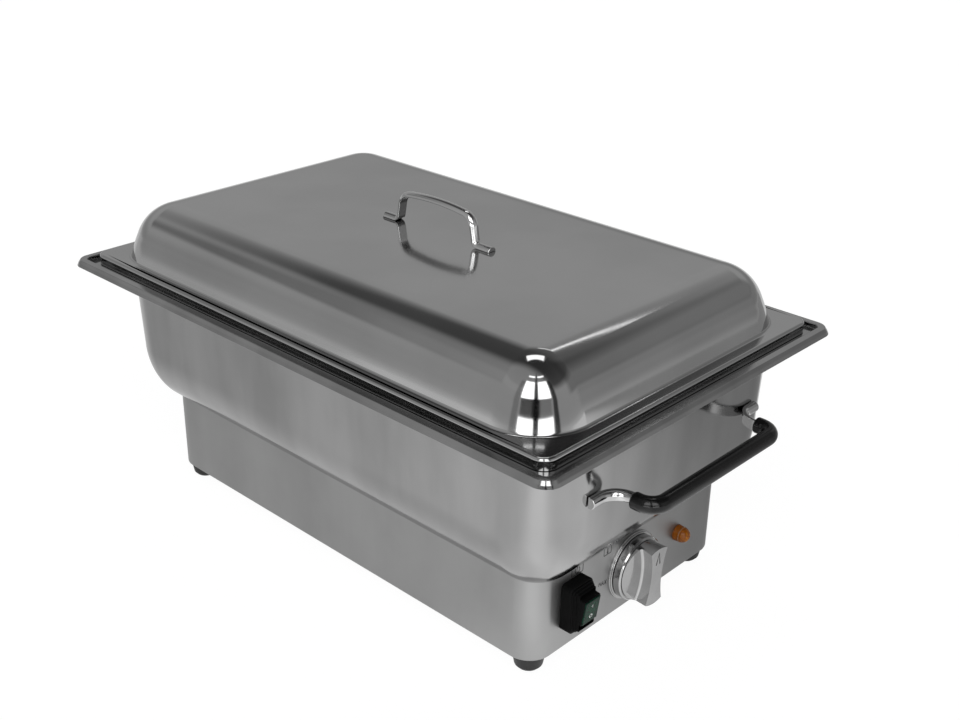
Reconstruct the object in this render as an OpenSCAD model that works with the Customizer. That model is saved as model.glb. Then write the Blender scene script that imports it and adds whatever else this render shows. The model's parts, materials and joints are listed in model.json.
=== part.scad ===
// Electric chafing dish: a water basin on a rounded housing, a lift-off food pan and a lift-off lid.
// Origin at the middle of the footprint on the table, +X towards the control panel, +Z up.

/* [Food pan] */
// Length of the pan over its rim
pan_l = 526; // [480:1:560]
// Width of the pan over its rim
pan_w = 321; // [290:1:350]
// Corner radius of the pan's rim
pan_r = 10.8; // [8:0.2:16]
// Height of the turned-down edge of the pan's rim
pan_edge_h = 8.3; // [6:0.1:10]
// Length of the pan's well at the top
well_l = 500; // [460:1:510]
// Width of the pan's well at the top
well_w = 286; // [260:1:300]
// Corner radius of the well
well_r = 42; // [36:1:60]
// Depth of the well below the rim
well_depth = 65; // [40:1:100]
// Radius between the well's wall and floor
well_fillet = 24; // [12:1:32]
// Thickness of the pan's sheet
pan_t = 0.8; // [0.6:0.1:1.2]

/* [Lid] */
// Height of the lid's skirt
skirt_h = 9; // [6:0.5:9]
// Radius over the skirt's top edge
skirt_fillet = 2.5; // [1.5:0.1:3.5]
// Flat flange between the skirt and the foot of the dome, at the ends
flange_end = 11; // [8:0.5:20]
// Flat flange between the skirt and the foot of the dome, at the sides
flange_side = 8.5; // [7:0.5:20]
// Corner radius at the foot of the dome
dome_r = 48; // [46:1:70]
// Height of the dome above the flange
dome_h = 46.6; // [40:0.1:70]
// Radius over the dome's shoulder
dome_fillet = 40; // [20:1:40]
// Lean of the dome's wall, in degrees
dome_lean = 20; // [5:1:30]
// Thickness of the lid's sheet
lid_t = 0.8; // [0.6:0.1:1.2]

/* [Lid handle] */
// Length of the handle over its feet
lid_handle_l = 124; // [110:1:150]
// Place of the handle along the lid, from its middle
lid_handle_x = 4; // [-10:1:10]
// Width of the handle's strap
strap_w = 9; // [7:0.5:12]
// Thickness of the handle's strap
strap_t = 4; // [3:0.5:5]
// Height of the handle above the lid
lid_handle_h = 30.5; // [26:0.5:38]
// Half the length of the arched bridge
bridge_half = 32; // [28:1:36]
// Turn of half the bridge's arch, in degrees
bridge_turn = 8; // [4:1:12]
// Steepness of the handle's legs, in degrees
leg_turn = 80; // [70:1:88]

/* [Rim and basin] */
// Height of the rim's lower edge above the table
rim_z = 214.6; // [200:0.1:230]
// Distance the rim stands out past the lid
rim_margin = 15.25; // [15:0.25:20]
// Corner radius of the rim
rim_r = 14; // [13:0.5:20]
// Height of the basin's floor above the table
floor_z = 82.6; // [78:0.1:92]
// Radius between the basin's wall and floor
basin_fillet = 46; // [36:1:48]
// Inward draft of the basin's wall over its height
basin_draft = 2.8; // [1:0.1:4]
// Thickness of the basin's sheet
basin_t = 1; // [0.8:0.1:1.5]

/* [Housing] */
// Length of the housing
house_l = 449.6; // [440:0.2:470]
// Width of the housing
house_w = 242; // [236:0.2:260]
// Corner radius of the housing
house_r = 21; // [16:1:30]
// Thickness of the housing's sheet
house_t = 1; // [0.8:0.1:1.5]
// Width of the flange turned in at the bottom
return_w = 34; // [30:1:45]
// Height of the rubber feet
foot_h = 14.8; // [12:0.2:18]
// Diameter of the rubber feet at the top
foot_d = 27; // [22:1:30]
// Distance of the feet's centres from the housing's walls
foot_inset = 17.4; // [16:0.2:20]

/* [Carrying handles] */
// Height of the handles above the table
handle_z = 166; // [152:1:178]
// Distance between the ends of the handle's feet
handle_l = 208; // [180:1:210]
// Width across the inner faces of the handle's legs
handle_gap_w = 150; // [130:1:156]
// Clear finger space between the basin and the bar
handle_reach = 34.5; // [34:0.5:45]
// Width of the handle's bar
bar_w = 9; // [7:0.5:10]
// Thickness of the handle's bar
bar_t = 6; // [5:0.5:7]
// Diameter of the grip sleeve
grip_d = 13; // [12.4:0.2:16]

/* [Controls] */
// Height of the knob's centre
knob_z = 52; // [48:0.5:54]
// Sideways place of the knob's centre
knob_y = -3; // [-8:0.5:4]
// Diameter of the knob
knob_d = 54; // [46:1:56]
// Turn of the knob from upright, in degrees
knob_turn = 4; // [0:1:20]
// Sideways place of the pilot lamp
lamp_y = 60; // [52:0.5:72]
// Height of the pilot lamp
lamp_z = 52.5; // [46:0.5:58]
// Diameter of the lamp's lens
lens_d = 13; // [11:0.5:15]
// Sideways place of the switch
switch_y = -78; // [-82:0.5:-70]
// Height of the switch
switch_z = 56.5; // [52:0.5:60]
// Tilt of the rocker from flat, in degrees
rocker_tilt = 8; // [4:1:9]
// Diameter of the cable hole in the gland
cable_d = 8; // [6:0.5:9]
// Height of the cable gland
gland_z = 42; // [36:1:50]

/* [Heating] */
// Diameter of the heating element
element_d = 8.5; // [6.5:0.5:9]
// Distance between the element's legs
element_gap = 70; // [64:1:90]
// Length of the spreader plate
spreader_l = 340; // [320:1:360]
// Width of the spreader plate
spreader_w = 150; // [140:1:170]

/* [Hidden] */
$fn = 72;
// Overrun of every cut
over = 1;
// Gap between pieces that rest on each other
seat = 0.2;
// Gap between the pan's edge and the lid's skirt
lid_fit = 1.2;
// Gap between the basin and the pan's well
well_gap = 6;
// Gap around pieces that pass through the housing
pass_gap = 0.2;
// Radial running clearance
run_gap = 0.1;

// Rim section: ledge height, ridge height, band width, ridge places and sheet of the apron
ledge_up = 1.6;
ridge_up = 2.6;
rim_band = 12.5;
ridge_in = 9;
ridge_flat = 1.6;
ridge_run = 2;
lip_up = 0.9;

// Levels from the table up
ledge_z = rim_z + ledge_up;
pan_top_z = ledge_z + seat + pan_edge_h;
lid_under_z = pan_top_z + seat;
flange_z = lid_under_z + lid_t;
lid_top_z = flange_z + dome_h;

// Plan sizes that follow the pan
lid_l = pan_l + 2 * (lid_fit + lid_t);
lid_w = pan_w + 2 * (lid_fit + lid_t);
lid_r = pan_r + lid_fit;
rim_l = lid_l + 2 * rim_margin;
rim_w = lid_w + 2 * rim_margin;
basin_l = well_l + 2 * (well_gap + basin_t);
basin_w = well_w + 2 * (well_gap + basin_t);
basin_r = well_r + well_gap + basin_t;
basin_knee = min(basin_fillet, basin_r - basin_draft - basin_t / 4);
basin_knee_z = floor_z + basin_knee;
dome_l = lid_l - 2 * flange_end;
dome_w = lid_w - 2 * flange_side;
pan_edge_fillet = 2.2;

// Planes of the housing's ends, and the wall of the basin at the handles
panel_x = house_l / 2;
inner_x = panel_x - house_t;
plate_z = foot_h + house_t;
plate_t = 1;
plate_top_z = plate_z + plate_t;
under_z = floor_z - seat;
wall_slope = basin_draft / (ledge_z - basin_knee_z);
handle_wall_x = basin_l / 2 - wall_slope * (ledge_z - handle_z - bar_w / 2) + seat;

// Plan outline with round corners
module round_rect(l, w, r) {
    square([l - 2 * r, w], center = true);
    square([l, w - 2 * r], center = true);
    for (sx = [-1, 1])
        for (sy = [-1, 1])
            translate([sx * (l / 2 - r), sy * (w / 2 - r)])
                circle(r);
}

// Flat ring between two plan outlines, from z up
module plate_ring(l, w, r, hole_l, hole_w, hole_r, z, t) {
    translate([0, 0, z])
        linear_extrude(t)
            difference() {
                round_rect(l, w, r);
                round_rect(hole_l, hole_w, hole_r);
            }
}

// Sweeps a wall section round a plan outline, with the section's zero on the corners' centres
module swept(l, w, r) {
    for (side = [0, 1])
        rotate([0, 0, 180 * side]) {
            translate([l / 2 - r, 0, 0])
                rotate([90, 0, 0])
                    linear_extrude(w - 2 * r, center = true)
                        children();
            translate([0, w / 2 - r, 0])
                rotate([90, 0, 90])
                    linear_extrude(l - 2 * r, center = true)
                        children();
        }
    for (turn = [0 : 3])
        translate([(turn == 0 || turn == 3 ? 1 : -1) * (l / 2 - r), (turn < 2 ? 1 : -1) * (w / 2 - r), 0])
            rotate([0, 0, 90 * turn])
                rotate_extrude(angle = 90)
                    children();
}

// Half section of a drawn bowl: draft on the wall and a round knee at the floor
module bowl_half(u_top, u_low, knee, z_low, z_top) {
    polygon([[0, z_low + knee], [u_low, z_low + knee], [u_top, z_top], [0, z_top]]);
    translate([0, z_low])
        square([u_low - knee, knee]);
    intersection() {
        translate([u_low - knee, z_low + knee])
            circle(knee);
        translate([u_low - knee, z_low])
            square([knee, knee]);
    }
}

// Half section of the dome: leaning wall and a round shoulder
module dome_half(u_foot, shoulder, z_foot, z_top) {
    z_turn = z_top - shoulder * (1 - sin(dome_lean));
    u_turn = u_foot - tan(dome_lean) * (z_turn - z_foot);
    u_mid = u_turn - shoulder * cos(dome_lean);
    z_mid = z_top - shoulder;
    polygon([[0, z_foot], [u_foot, z_foot], [u_turn, z_turn], [u_mid, z_mid], [u_mid, z_top], [0, z_top]]);
    intersection() {
        translate([u_mid, z_mid])
            circle(shoulder);
        translate([u_mid, z_mid])
            square([shoulder, shoulder]);
    }
}

// Section of a flange edge that is turned down over a small radius
module turned_edge(u, z_low, z_top, fillet, t) {
    difference() {
        turned_outline(u, z_low, z_top, fillet);
        translate([-t, -t])
            turned_outline(u, z_low - over, z_top, fillet);
    }
}

module turned_outline(u, z_low, z_top, fillet) {
    translate([0, z_low])
        square([u, z_top - fillet - z_low]);
    translate([0, z_low])
        square([u - fillet, z_top - z_low]);
    translate([u - fillet, z_top - fillet])
        circle(fillet);
}

// D-shaped section with its flat face on zero
edge_t = 0.6;

module d_section(w, t) {
    sag = min(t - edge_t, w / 2);
    ball = (w * w / 4 + sag * sag) / (2 * sag);
    translate([0, -w / 2])
        square([t - sag, w]);
    intersection() {
        translate([t - ball, 0])
            circle(ball);
        translate([t - sag, -w / 2])
            square([sag, w]);
    }
}

// Straight stretch of a section, from a point along a heading, with the section to the left
module stretch(from, heading, len) {
    translate([from[0], from[1], 0])
        rotate([90, 0, heading + 90])
            linear_extrude(len)
                children();
}

// Arc of a section round a centre, between two angles
module arc(centre, low, high) {
    translate([centre[0], centre[1], 0])
        rotate([0, 0, low])
            rotate_extrude(angle = high - low)
                children();
}

// Water basin: drawn bowl, flat ledge, ridge and outward apron
module rim_section() {
    foot_u = rim_r - rim_band;
    ridge_u = rim_r - ridge_in;
    difference() {
        polygon([[foot_u, rim_z], [rim_r, rim_z], [rim_r, rim_z + lip_up],
            [ridge_u + ridge_flat, ledge_z + ridge_up], [ridge_u - ridge_flat, ledge_z + ridge_up],
            [ridge_u - ridge_flat - ridge_run, ledge_z], [foot_u, ledge_z]]);
        polygon([[foot_u - over, rim_z - over], [rim_r - lip_up, rim_z - over], [rim_r - lip_up, rim_z],
            [ridge_u + ridge_flat, ledge_z + ridge_up - basin_t],
            [ridge_u - ridge_flat, ledge_z + ridge_up - basin_t],
            [ridge_u - ridge_flat - ridge_run, ledge_z - basin_t], [foot_u - over, ledge_z - basin_t]]);
    }
}

module water_basin() color([0.62, 0.62, 0.62]) {
    swept(basin_l, basin_w, basin_r)
        difference() {
            bowl_half(basin_r, basin_r - basin_draft, basin_knee, floor_z, ledge_z);
            bowl_half(basin_r - basin_t, basin_r - basin_draft - basin_t, basin_knee - basin_t,
                floor_z + basin_t, ledge_z + over);
        }
    translate([0, 0, floor_z + basin_t / 2])
        cube([basin_l - 2 * basin_r, basin_w - 2 * basin_r, basin_t], center = true);
    plate_ring(rim_l - 2 * rim_band, rim_w - 2 * rim_band, rim_r - rim_band,
        basin_l - 2 * basin_t, basin_w - 2 * basin_t, basin_r - basin_t, ledge_z - basin_t, basin_t);
    swept(rim_l, rim_w, rim_r)
        rim_section();
}

// Outer form of the basin with a gap, which trims the top edge of the housing
module basin_form(gap) {
    swept(basin_l, basin_w, basin_r)
        bowl_half(basin_r + gap, basin_r - basin_draft + gap, basin_knee + gap, floor_z - gap, ledge_z);
    translate([0, 0, (floor_z - gap + ledge_z) / 2])
        cube([basin_l - 2 * basin_r, basin_w - 2 * basin_r, ledge_z - floor_z + gap], center = true);
}

// Places of the four feet and of the base plate's screws
foot_x = house_l / 2 - foot_inset;
foot_y = house_w / 2 - foot_inset;
foot_places = [[-foot_x, -foot_y], [foot_x, -foot_y], [foot_x, foot_y], [-foot_x, foot_y]];
screw_x = foot_x / 2;
screw_places = [[-screw_x, -foot_y], [screw_x, -foot_y], [screw_x, foot_y], [-screw_x, foot_y],
    [foot_x, 0], [-foot_x, 0]];

// Screw sizes: foot screw, base plate screw and thermostat screw
foot_screw_d = 5;
foot_head_d = 9;
foot_head_h = 3.2;
foot_recess_d = 11;
foot_recess_h = 5;
foot_sole_d = 22.5;
foot_tip_d = 17;
foot_tip_h = 3;
foot_nut_d = 9.2;
foot_nut_h = 4;
plate_screw_d = 4;
plate_head_d = 7.6;
plate_head_h = 2.4;
plate_screw_l = 6;

// Switch sizes, outwards from the panel
frame_w = 28;
frame_h = 42;
frame_r = 4;
frame_p = 10;
body_w = 22.6;
body_h = 30.6;
body_p = 9.8;
body_in = 28;
rocker_w = 18;
rocker_h = 22;
rocker_back = 2;
rocker_front = 19;
rocker_hub = 6;
rocker_room = 5;
rocker_side = 0.3;
rocker_pin_d = 3;
rocker_pin_l = 21.6;
window_w = 16;
window_h = 20;
window_t = 2;
boot_step_shares = [[1, 0.2], [0.9, 0.55], [0.8, 1]];
boot_w = 26;
boot_h = 38;
boot_p = 15.6;

// Thermostat sizes, inwards and outwards from the panel
stat_w = 40;
stat_h = 34;
stat_in = 30;
boss_d = 10;
boss_p = 2;
spindle_d = 6;
spindle_in = 18;
spindle_p = 13;
stat_hole_d = 11;
stat_screw_d = 4;
stat_screw_gap = 28;
stat_head_d = 7;
stat_head_h = 1.8;
stat_screw_in = 8;

// Lamp sizes, from the panel
lamp_d = 10;
lamp_in = 25;
lamp_collar_d = 14;
lamp_collar_t = 1.5;
lamp_nut_d = 16;
lamp_nut_t = 3;
lens_waist_p = 4.8;
lens_ring_t = 1.1;
lens_ring_over = 0.35;
lens_neck_d = 10;
lens_p = 12;

// Gland sizes, from the rear panel
gland_thread_d = 15.8;
gland_thread_in = 12;
gland_flange_d = 24;
gland_flange_t = 6;
gland_dome_d = 20;
gland_dome_p = 18;
gland_bore_d = 11;
gland_nut_d = 24;
gland_nut_t = 5;

// Cylinder along X between two planes
module rod_x(x_low, x_high, y, z, d) {
    translate([x_low, y, z])
        rotate([0, 90, 0])
            cylinder(h = x_high - x_low, d = d);
}

// Block along X between two planes, with a size across and a height
module block_x(x_low, x_high, y, z, w, h) {
    translate([(x_low + x_high) / 2, y, z])
        cube([x_high - x_low, w, h], center = true);
}

// Block with round edges along X between two planes
module soft_block_x(x_low, x_high, y, z, w, h, r) {
    translate([x_low, y, z])
        rotate([90, 0, 90])
            linear_extrude(x_high - x_low)
                round_rect(w, h, r);
}

module lower_housing() color([0.66, 0.66, 0.66]) {
    difference() {
        union() {
            plate_ring(house_l, house_w, house_r, house_l - 2 * house_t, house_w - 2 * house_t,
                house_r - house_t, foot_h, basin_knee_z - foot_h);
            plate_ring(house_l, house_w, house_r, house_l - 2 * return_w, house_w - 2 * return_w,
                house_t, foot_h, house_t);
        }
        basin_form(seat);
        rod_x(inner_x - over, panel_x + over, knob_y, knob_z, stat_hole_d);
        for (side = [-1, 1])
            rod_x(inner_x - over, panel_x + over, knob_y + side * stat_screw_gap / 2, knob_z,
                stat_screw_d + 2 * pass_gap);
        rod_x(inner_x - over, panel_x + over, lamp_y, lamp_z, lamp_d + 2 * pass_gap);
        block_x(inner_x - over, panel_x + over, switch_y, switch_z, body_w + 2 * pass_gap, body_h + 2 * pass_gap);
        rod_x(-panel_x - over, -inner_x + over, 0, gland_z, gland_thread_d + 2 * pass_gap);
        for (place = concat(foot_places, screw_places))
            translate([place[0], place[1], foot_h - over])
                cylinder(h = house_t + 2 * over, d = foot_screw_d + 2 * pass_gap);
    }
}

// Vent slots in the base plate
vent_l = 60;
vent_w = 5;
vent_pitch = 16;
vent_rows = 5;
vent_x = 85;

module vent_slot() {
    square([vent_l - vent_w, vent_w], center = true);
    for (end = [-1, 1])
        translate([end * (vent_l - vent_w) / 2, 0])
            circle(d = vent_w);
}

module base_plate() color([0.55, 0.55, 0.56])
    translate([0, 0, plate_z + seat])
        linear_extrude(plate_t)
            difference() {
                round_rect(house_l - 2 * house_t - 2 * pass_gap, house_w - 2 * house_t - 2 * pass_gap,
                    house_r - house_t - pass_gap);
                for (place = foot_places)
                    translate(place)
                        circle(d = foot_screw_d + 2 * pass_gap);
                for (place = screw_places)
                    translate(place)
                        circle(d = plate_screw_d + run_gap);
                for (side = [-1, 1])
                    for (row = [0 : vent_rows - 1])
                        translate([side * vent_x, (row - (vent_rows - 1) / 2) * vent_pitch])
                            vent_slot();
            }

module base_plate_screws() color([0.5, 0.5, 0.5])
    for (place = screw_places)
        translate([place[0], place[1], foot_h - plate_head_h]) {
            cylinder(h = plate_head_h - run_gap, d = plate_head_d);
            cylinder(h = plate_head_h + plate_screw_l, d = plate_screw_d);
        }

module rubber_feet() color([0.06, 0.06, 0.06])
    for (place = foot_places)
        translate([place[0], place[1], 0])
            difference() {
                union() {
                    cylinder(h = foot_tip_h, d1 = foot_tip_d, d2 = foot_sole_d);
                    translate([0, 0, foot_tip_h])
                        cylinder(h = foot_h - foot_tip_h - seat, d1 = foot_sole_d, d2 = foot_d);
                }
                translate([0, 0, -over])
                    cylinder(h = foot_recess_h + over, d = foot_recess_d);
                translate([0, 0, -over])
                    cylinder(h = foot_h + 2 * over, d = foot_screw_d + 2 * pass_gap);
            }

module foot_screws() color([0.5, 0.5, 0.5])
    for (place = foot_places)
        translate([place[0], place[1], foot_recess_h - run_gap - foot_head_h]) {
            cylinder(h = foot_head_h, d = foot_head_d);
            cylinder(h = plate_top_z + foot_nut_h + over - foot_recess_h + foot_head_h, d = foot_screw_d);
        }

module foot_nuts() color([0.6, 0.6, 0.6])
    for (place = foot_places)
        translate([place[0], place[1], plate_top_z + 2 * seat])
            difference() {
                cylinder(h = foot_nut_h, d = foot_nut_d, $fn = 6);
                translate([0, 0, -over])
                    cylinder(h = foot_nut_h + 2 * over, d = foot_screw_d + run_gap);
            }

// Carrying handle, drawn in plan for the front end with its flat face on the basin
foot_bend = 19;
grip_bend = 10;
sleeve_start = 20;
leg_in = handle_gap_w / 2;
foot_turn_y = leg_in + foot_bend;
bar_face = handle_reach;
leg_bend_x = bar_face - grip_bend;

module bar_half() {
    stretch([0, foot_turn_y], 90, handle_l / 2 - foot_turn_y)
        mirror([1, 0])
            d_section(bar_w, bar_t);
    arc([foot_bend, foot_turn_y], 180, 270)
        translate([foot_bend, 0])
            mirror([1, 0])
                d_section(bar_w, bar_t);
    stretch([foot_bend, leg_in], 0, leg_bend_x - foot_bend)
        d_section(bar_w, bar_t);
    arc([leg_bend_x, leg_in - grip_bend], 0, 90)
        translate([grip_bend, 0])
            d_section(bar_w, bar_t);
    stretch([bar_face, 0], 90, leg_in - grip_bend)
        mirror([1, 0])
            d_section(bar_w, bar_t);
}

module sleeve_section() {
    difference() {
        translate([bar_t / 2, 0])
            circle(d = grip_d);
        translate([-run_gap, 0])
            d_section(bar_w + 2 * run_gap, bar_t + 2 * run_gap);
    }
}

module sleeve_half() {
    stretch([sleeve_start, leg_in], 0, leg_bend_x - sleeve_start)
        sleeve_section();
    arc([leg_bend_x, leg_in - grip_bend], 0, 90)
        translate([grip_bend, 0])
            sleeve_section();
    stretch([bar_face, 0], 90, leg_in - grip_bend)
        mirror([1, 0])
            sleeve_section();
}

module on_end(rear) {
    rotate([0, 0, rear ? 180 : 0])
        translate([handle_wall_x, 0, handle_z])
            for (side = [0, 1])
                mirror([0, side, 0])
                    children();
}

module handle_bar_front() color([0.7, 0.7, 0.7])
    on_end(false)
        bar_half();

module handle_bar_rear() color([0.7, 0.7, 0.7])
    on_end(true)
        bar_half();

module grip_sleeve_front() color([0.03, 0.03, 0.03])
    on_end(false)
        sleeve_half();

module grip_sleeve_rear() color([0.03, 0.03, 0.03])
    on_end(true)
        sleeve_half();

// Heating element under the floor: plate, element, clamps and sensors
spreader_t = 2;
spreader_z = under_z - spreader_t;
element_z = spreader_z - seat - element_d / 2;
element_front_x = 140;
element_rear_x = -120;
element_bend = 14;
element_drop = 8;
pin_d = 4;
pin_l = 10;
collar_d = 11;
collar_h = 5;
stud_d = 5;
stud_x = 60;
stud_y = element_gap / 2 + 17;
clamp_w = 14;
clamp_t = 2;
clamp_z = element_z - element_d / 2 - seat - clamp_t;
clamp_nut_h = 4;
clamp_nut_d = 9.2;
bulb_d = 6;
bulb_rear_x = -40;
bulb_l = 80;
bulb_y = -12;
clip_w = 12;
clip_t = 0.8;
clip_foot = 7;
bulb_z = spreader_z - seat - bulb_d / 2;
cutout_x = 20;
cutout_y = 12;
cutout_d = 16;
cutout_h = 9;
cutout_bracket_l = 34;
cutout_bracket_w = 20;
cutout_bracket_t = 1;
cutout_pin_gap = 8;
cutout_pin_l = 6;
cutout_z = spreader_z - 2 * seat - cutout_bracket_t - cutout_h;
stud_places = [[-stud_x, -stud_y], [stud_x, -stud_y], [stud_x, stud_y], [-stud_x, stud_y]];
element_tip_x = element_front_x + element_bend;
element_tip_z = element_z - element_bend - element_drop;

module spreader_plate() color([0.75, 0.76, 0.78])
    difference() {
        translate([0, 0, spreader_z + spreader_t / 2])
            cube([spreader_l, spreader_w, spreader_t], center = true);
        for (place = stud_places)
            translate([place[0], place[1], spreader_z - over])
                cylinder(h = spreader_t + 2 * over, d = stud_d + 2 * pass_gap);
    }

module heating_element() color([0.35, 0.34, 0.33])
    union() {
        for (side = [-1, 1]) {
            rod_x(element_rear_x, element_front_x, side * element_gap / 2, element_z, element_d);
            translate([element_front_x, side * element_gap / 2, element_z - element_bend])
                rotate([90, 0, 0])
                    rotate_extrude(angle = 90)
                        translate([element_bend, 0])
                            circle(d = element_d);
            translate([element_tip_x, side * element_gap / 2, element_tip_z])
                cylinder(h = element_drop, d = element_d);
        }
        translate([element_rear_x, 0, element_z])
            rotate([0, 0, 90])
                rotate_extrude(angle = 180)
                    translate([element_gap / 2, 0])
                        circle(d = element_d);
    }

module element_terminals() color([0.85, 0.83, 0.78])
    for (side = [-1, 1])
        translate([element_tip_x, side * element_gap / 2, element_tip_z - collar_h]) {
            cylinder(h = collar_h, d = collar_d);
            translate([0, 0, collar_h - pin_l])
                cylinder(h = pin_l, d = pin_d);
        }

module clamp_bars() color([0.6, 0.6, 0.6])
    for (end = [-1, 1])
        difference() {
            translate([end * stud_x, 0, clamp_z + clamp_t / 2])
                cube([clamp_w, 2 * stud_y + clamp_w, clamp_t], center = true);
            for (side = [-1, 1])
                translate([end * stud_x, side * stud_y, clamp_z - over])
                    cylinder(h = clamp_t + 2 * over, d = stud_d + 2 * pass_gap);
        }

module clamp_studs() color([0.65, 0.65, 0.65])
    for (place = stud_places)
        translate([place[0], place[1], clamp_z - clamp_nut_h - 2 * seat])
            cylinder(h = floor_z - run_gap - clamp_z + clamp_nut_h + 2 * seat, d = stud_d);

module clamp_nuts() color([0.6, 0.6, 0.6])
    for (place = stud_places)
        translate([place[0], place[1], clamp_z - clamp_nut_h - seat])
            difference() {
                cylinder(h = clamp_nut_h, d = clamp_nut_d, $fn = 6);
                translate([0, 0, -over])
                    cylinder(h = clamp_nut_h + 2 * over, d = stud_d + run_gap);
            }

module sensor_bulb() color([0.72, 0.5, 0.36])
    rod_x(bulb_rear_x - bulb_l, bulb_rear_x, bulb_y, bulb_z, bulb_d);

module bulb_clip() color([0.6, 0.6, 0.6])
    translate([bulb_rear_x - bulb_l / 2 - clip_w / 2, bulb_y, bulb_z])
        rotate([90, 0, 90])
            linear_extrude(clip_w)
                difference() {
                    union() {
                        intersection() {
                            circle(d = bulb_d + 2 * run_gap + 2 * clip_t);
                            translate([-bulb_d, -bulb_d])
                                square([2 * bulb_d, bulb_d + bulb_d / 2]);
                        }
                        translate([-bulb_d / 2 - clip_foot, bulb_d / 2 - clip_t])
                            square([bulb_d + 2 * clip_foot, clip_t]);
                    }
                    circle(d = bulb_d + 2 * run_gap);
                }

module thermal_cutout() color([0.15, 0.14, 0.13]) {
    translate([cutout_x, cutout_y, cutout_z])
        cylinder(h = cutout_h, d = cutout_d);
    for (side = [-1, 1])
        translate([cutout_x + side * cutout_pin_gap / 2, cutout_y, cutout_z - cutout_pin_l])
            cylinder(h = cutout_pin_l, d = pin_d / 2);
}

module cutout_bracket() color([0.6, 0.6, 0.6])
    translate([cutout_x, cutout_y, spreader_z - seat - cutout_bracket_t / 2])
        cube([cutout_bracket_l, cutout_bracket_w, cutout_bracket_t], center = true);

// Thermostat behind the panel
blade_l = 8;
blade_w = 6.3;
blade_t = 0.8;
stat_rear_x = inner_x - run_gap - stat_in;
stat_blade_y = 10;
stat_blade_low = 6.5;
stat_blade_high = 5.5;
stat_blades = [[-stat_blade_y, -stat_blade_low], [stat_blade_y, -stat_blade_low], [0, stat_blade_high]];
capillary_d = 1.8;
capillary_in = 74.8;
capillary_in_x = panel_x - capillary_in;
capillary_z = 38;

module thermostat_body() color([0.2, 0.2, 0.2])
    difference() {
        union() {
            block_x(stat_rear_x, inner_x - run_gap, knob_y, knob_z, stat_w, stat_h);
            rod_x(stat_rear_x, panel_x + boss_p, knob_y, knob_z, boss_d);
        }
        rod_x(inner_x - spindle_in, panel_x + boss_p + over, knob_y, knob_z, spindle_d + 2 * run_gap);
        for (side = [-1, 1])
            rod_x(inner_x - stat_screw_in, panel_x, knob_y + side * stat_screw_gap / 2, knob_z,
                stat_screw_d + run_gap);
    }

module thermostat_terminals() color([0.8, 0.7, 0.4])
    for (place = stat_blades)
        block_x(stat_rear_x - blade_l, stat_rear_x, knob_y + place[0], knob_z + place[1], blade_w, blade_t);

module thermostat_screws() color([0.6, 0.6, 0.6])
    for (side = [-1, 1]) {
        rod_x(inner_x - stat_screw_in + run_gap, panel_x + run_gap, knob_y + side * stat_screw_gap / 2, knob_z,
            stat_screw_d);
        rod_x(panel_x + run_gap, panel_x + stat_head_h, knob_y + side * stat_screw_gap / 2, knob_z, stat_head_d);
    }

module thermostat_spindle() color([0.75, 0.75, 0.75])
    rod_x(inner_x - spindle_in + run_gap, panel_x + spindle_p, knob_y, knob_z, spindle_d);

// Knob: skirt, face with a groove round it and a wing left standing between two scoops
bezel_step_shares = [[1, 0.6], [0.975, 1]];
bezel_over = 4.4;
bezel_t = 3.2;
bezel_hole_d = 44;
knob_back = 3.6;
knob_skirt_p = 9.2;
knob_rim_p = 10.8;
knob_groove_p = 9.8;
knob_t = 2;
face_shares = [0.926, 0.952];
wing_p = 25.5;
wing_waist = 9;
wing_lean = 12;
scoop_p = 15;
scoop_d = 150;
scoop_fillet = 2.5;
hub_d = 12;
hub_back = 3;

module knob_bezel() color([0.72, 0.72, 0.72])
    difference() {
        for (step = bezel_step_shares)
            rod_x(panel_x + run_gap, panel_x + step[1] * bezel_t, knob_y, knob_z, (knob_d + bezel_over) * step[0]);
        rod_x(panel_x - over, panel_x + bezel_t + over, knob_y, knob_z, bezel_hole_d);
    }

module knob_shell() {
    difference() {
        union() {
            rod_x(knob_back, knob_skirt_p, 0, 0, knob_d);
            translate([knob_skirt_p, 0, 0])
                rotate([0, 90, 0])
                    cylinder(h = knob_rim_p - knob_skirt_p, d1 = knob_d, d2 = knob_d * face_shares[1]);
        }
        rod_x(knob_back - over, knob_rim_p - knob_t, 0, 0, knob_d - 2 * knob_t);
        rod_x(knob_groove_p, knob_rim_p + over, 0, 0, knob_d * face_shares[1]);
    }
    difference() {
        rod_x(knob_groove_p - over, wing_p, 0, 0, knob_d * face_shares[0]);
        for (side = [0, 1])
            mirror([0, side, 0])
                knob_scoop();
    }
    rod_x(hub_back, knob_rim_p, 0, 0, hub_d);
}

// Scoop beside the wing: a wide round cutter with a round lower edge, leant under the wing's side
module knob_scoop() {
    translate([scoop_p, -wing_waist / 2, 0])
        rotate([0, 0, -wing_lean])
            translate([0, -scoop_d / 2, 0])
                rotate([0, 90, 0])
                    rotate_extrude() {
                        square([scoop_d / 2 - scoop_fillet, scoop_p]);
                        translate([0, scoop_fillet])
                            square([scoop_d / 2, scoop_p]);
                        translate([scoop_d / 2 - scoop_fillet, scoop_fillet])
                            circle(scoop_fillet);
                    }
}

module thermostat_knob() color([0.78, 0.78, 0.78])
    difference() {
        translate([panel_x, knob_y, knob_z])
            rotate([-knob_turn, 0, 0])
                knob_shell();
        rod_x(panel_x, panel_x + spindle_p + run_gap, knob_y, knob_z, spindle_d + run_gap / 2);
    }

// Path of round runs with ball corners, for leads and the capillary
lead_fn = 24;
ball_share = 1.06;

module lead(points, d) {
    for (i = [0 : len(points) - 2])
        run_between(points[i], points[i + 1], d);
    for (i = [1 : len(points) - 2])
        translate(points[i])
            sphere(d = d * ball_share, $fn = lead_fn);
}

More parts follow.
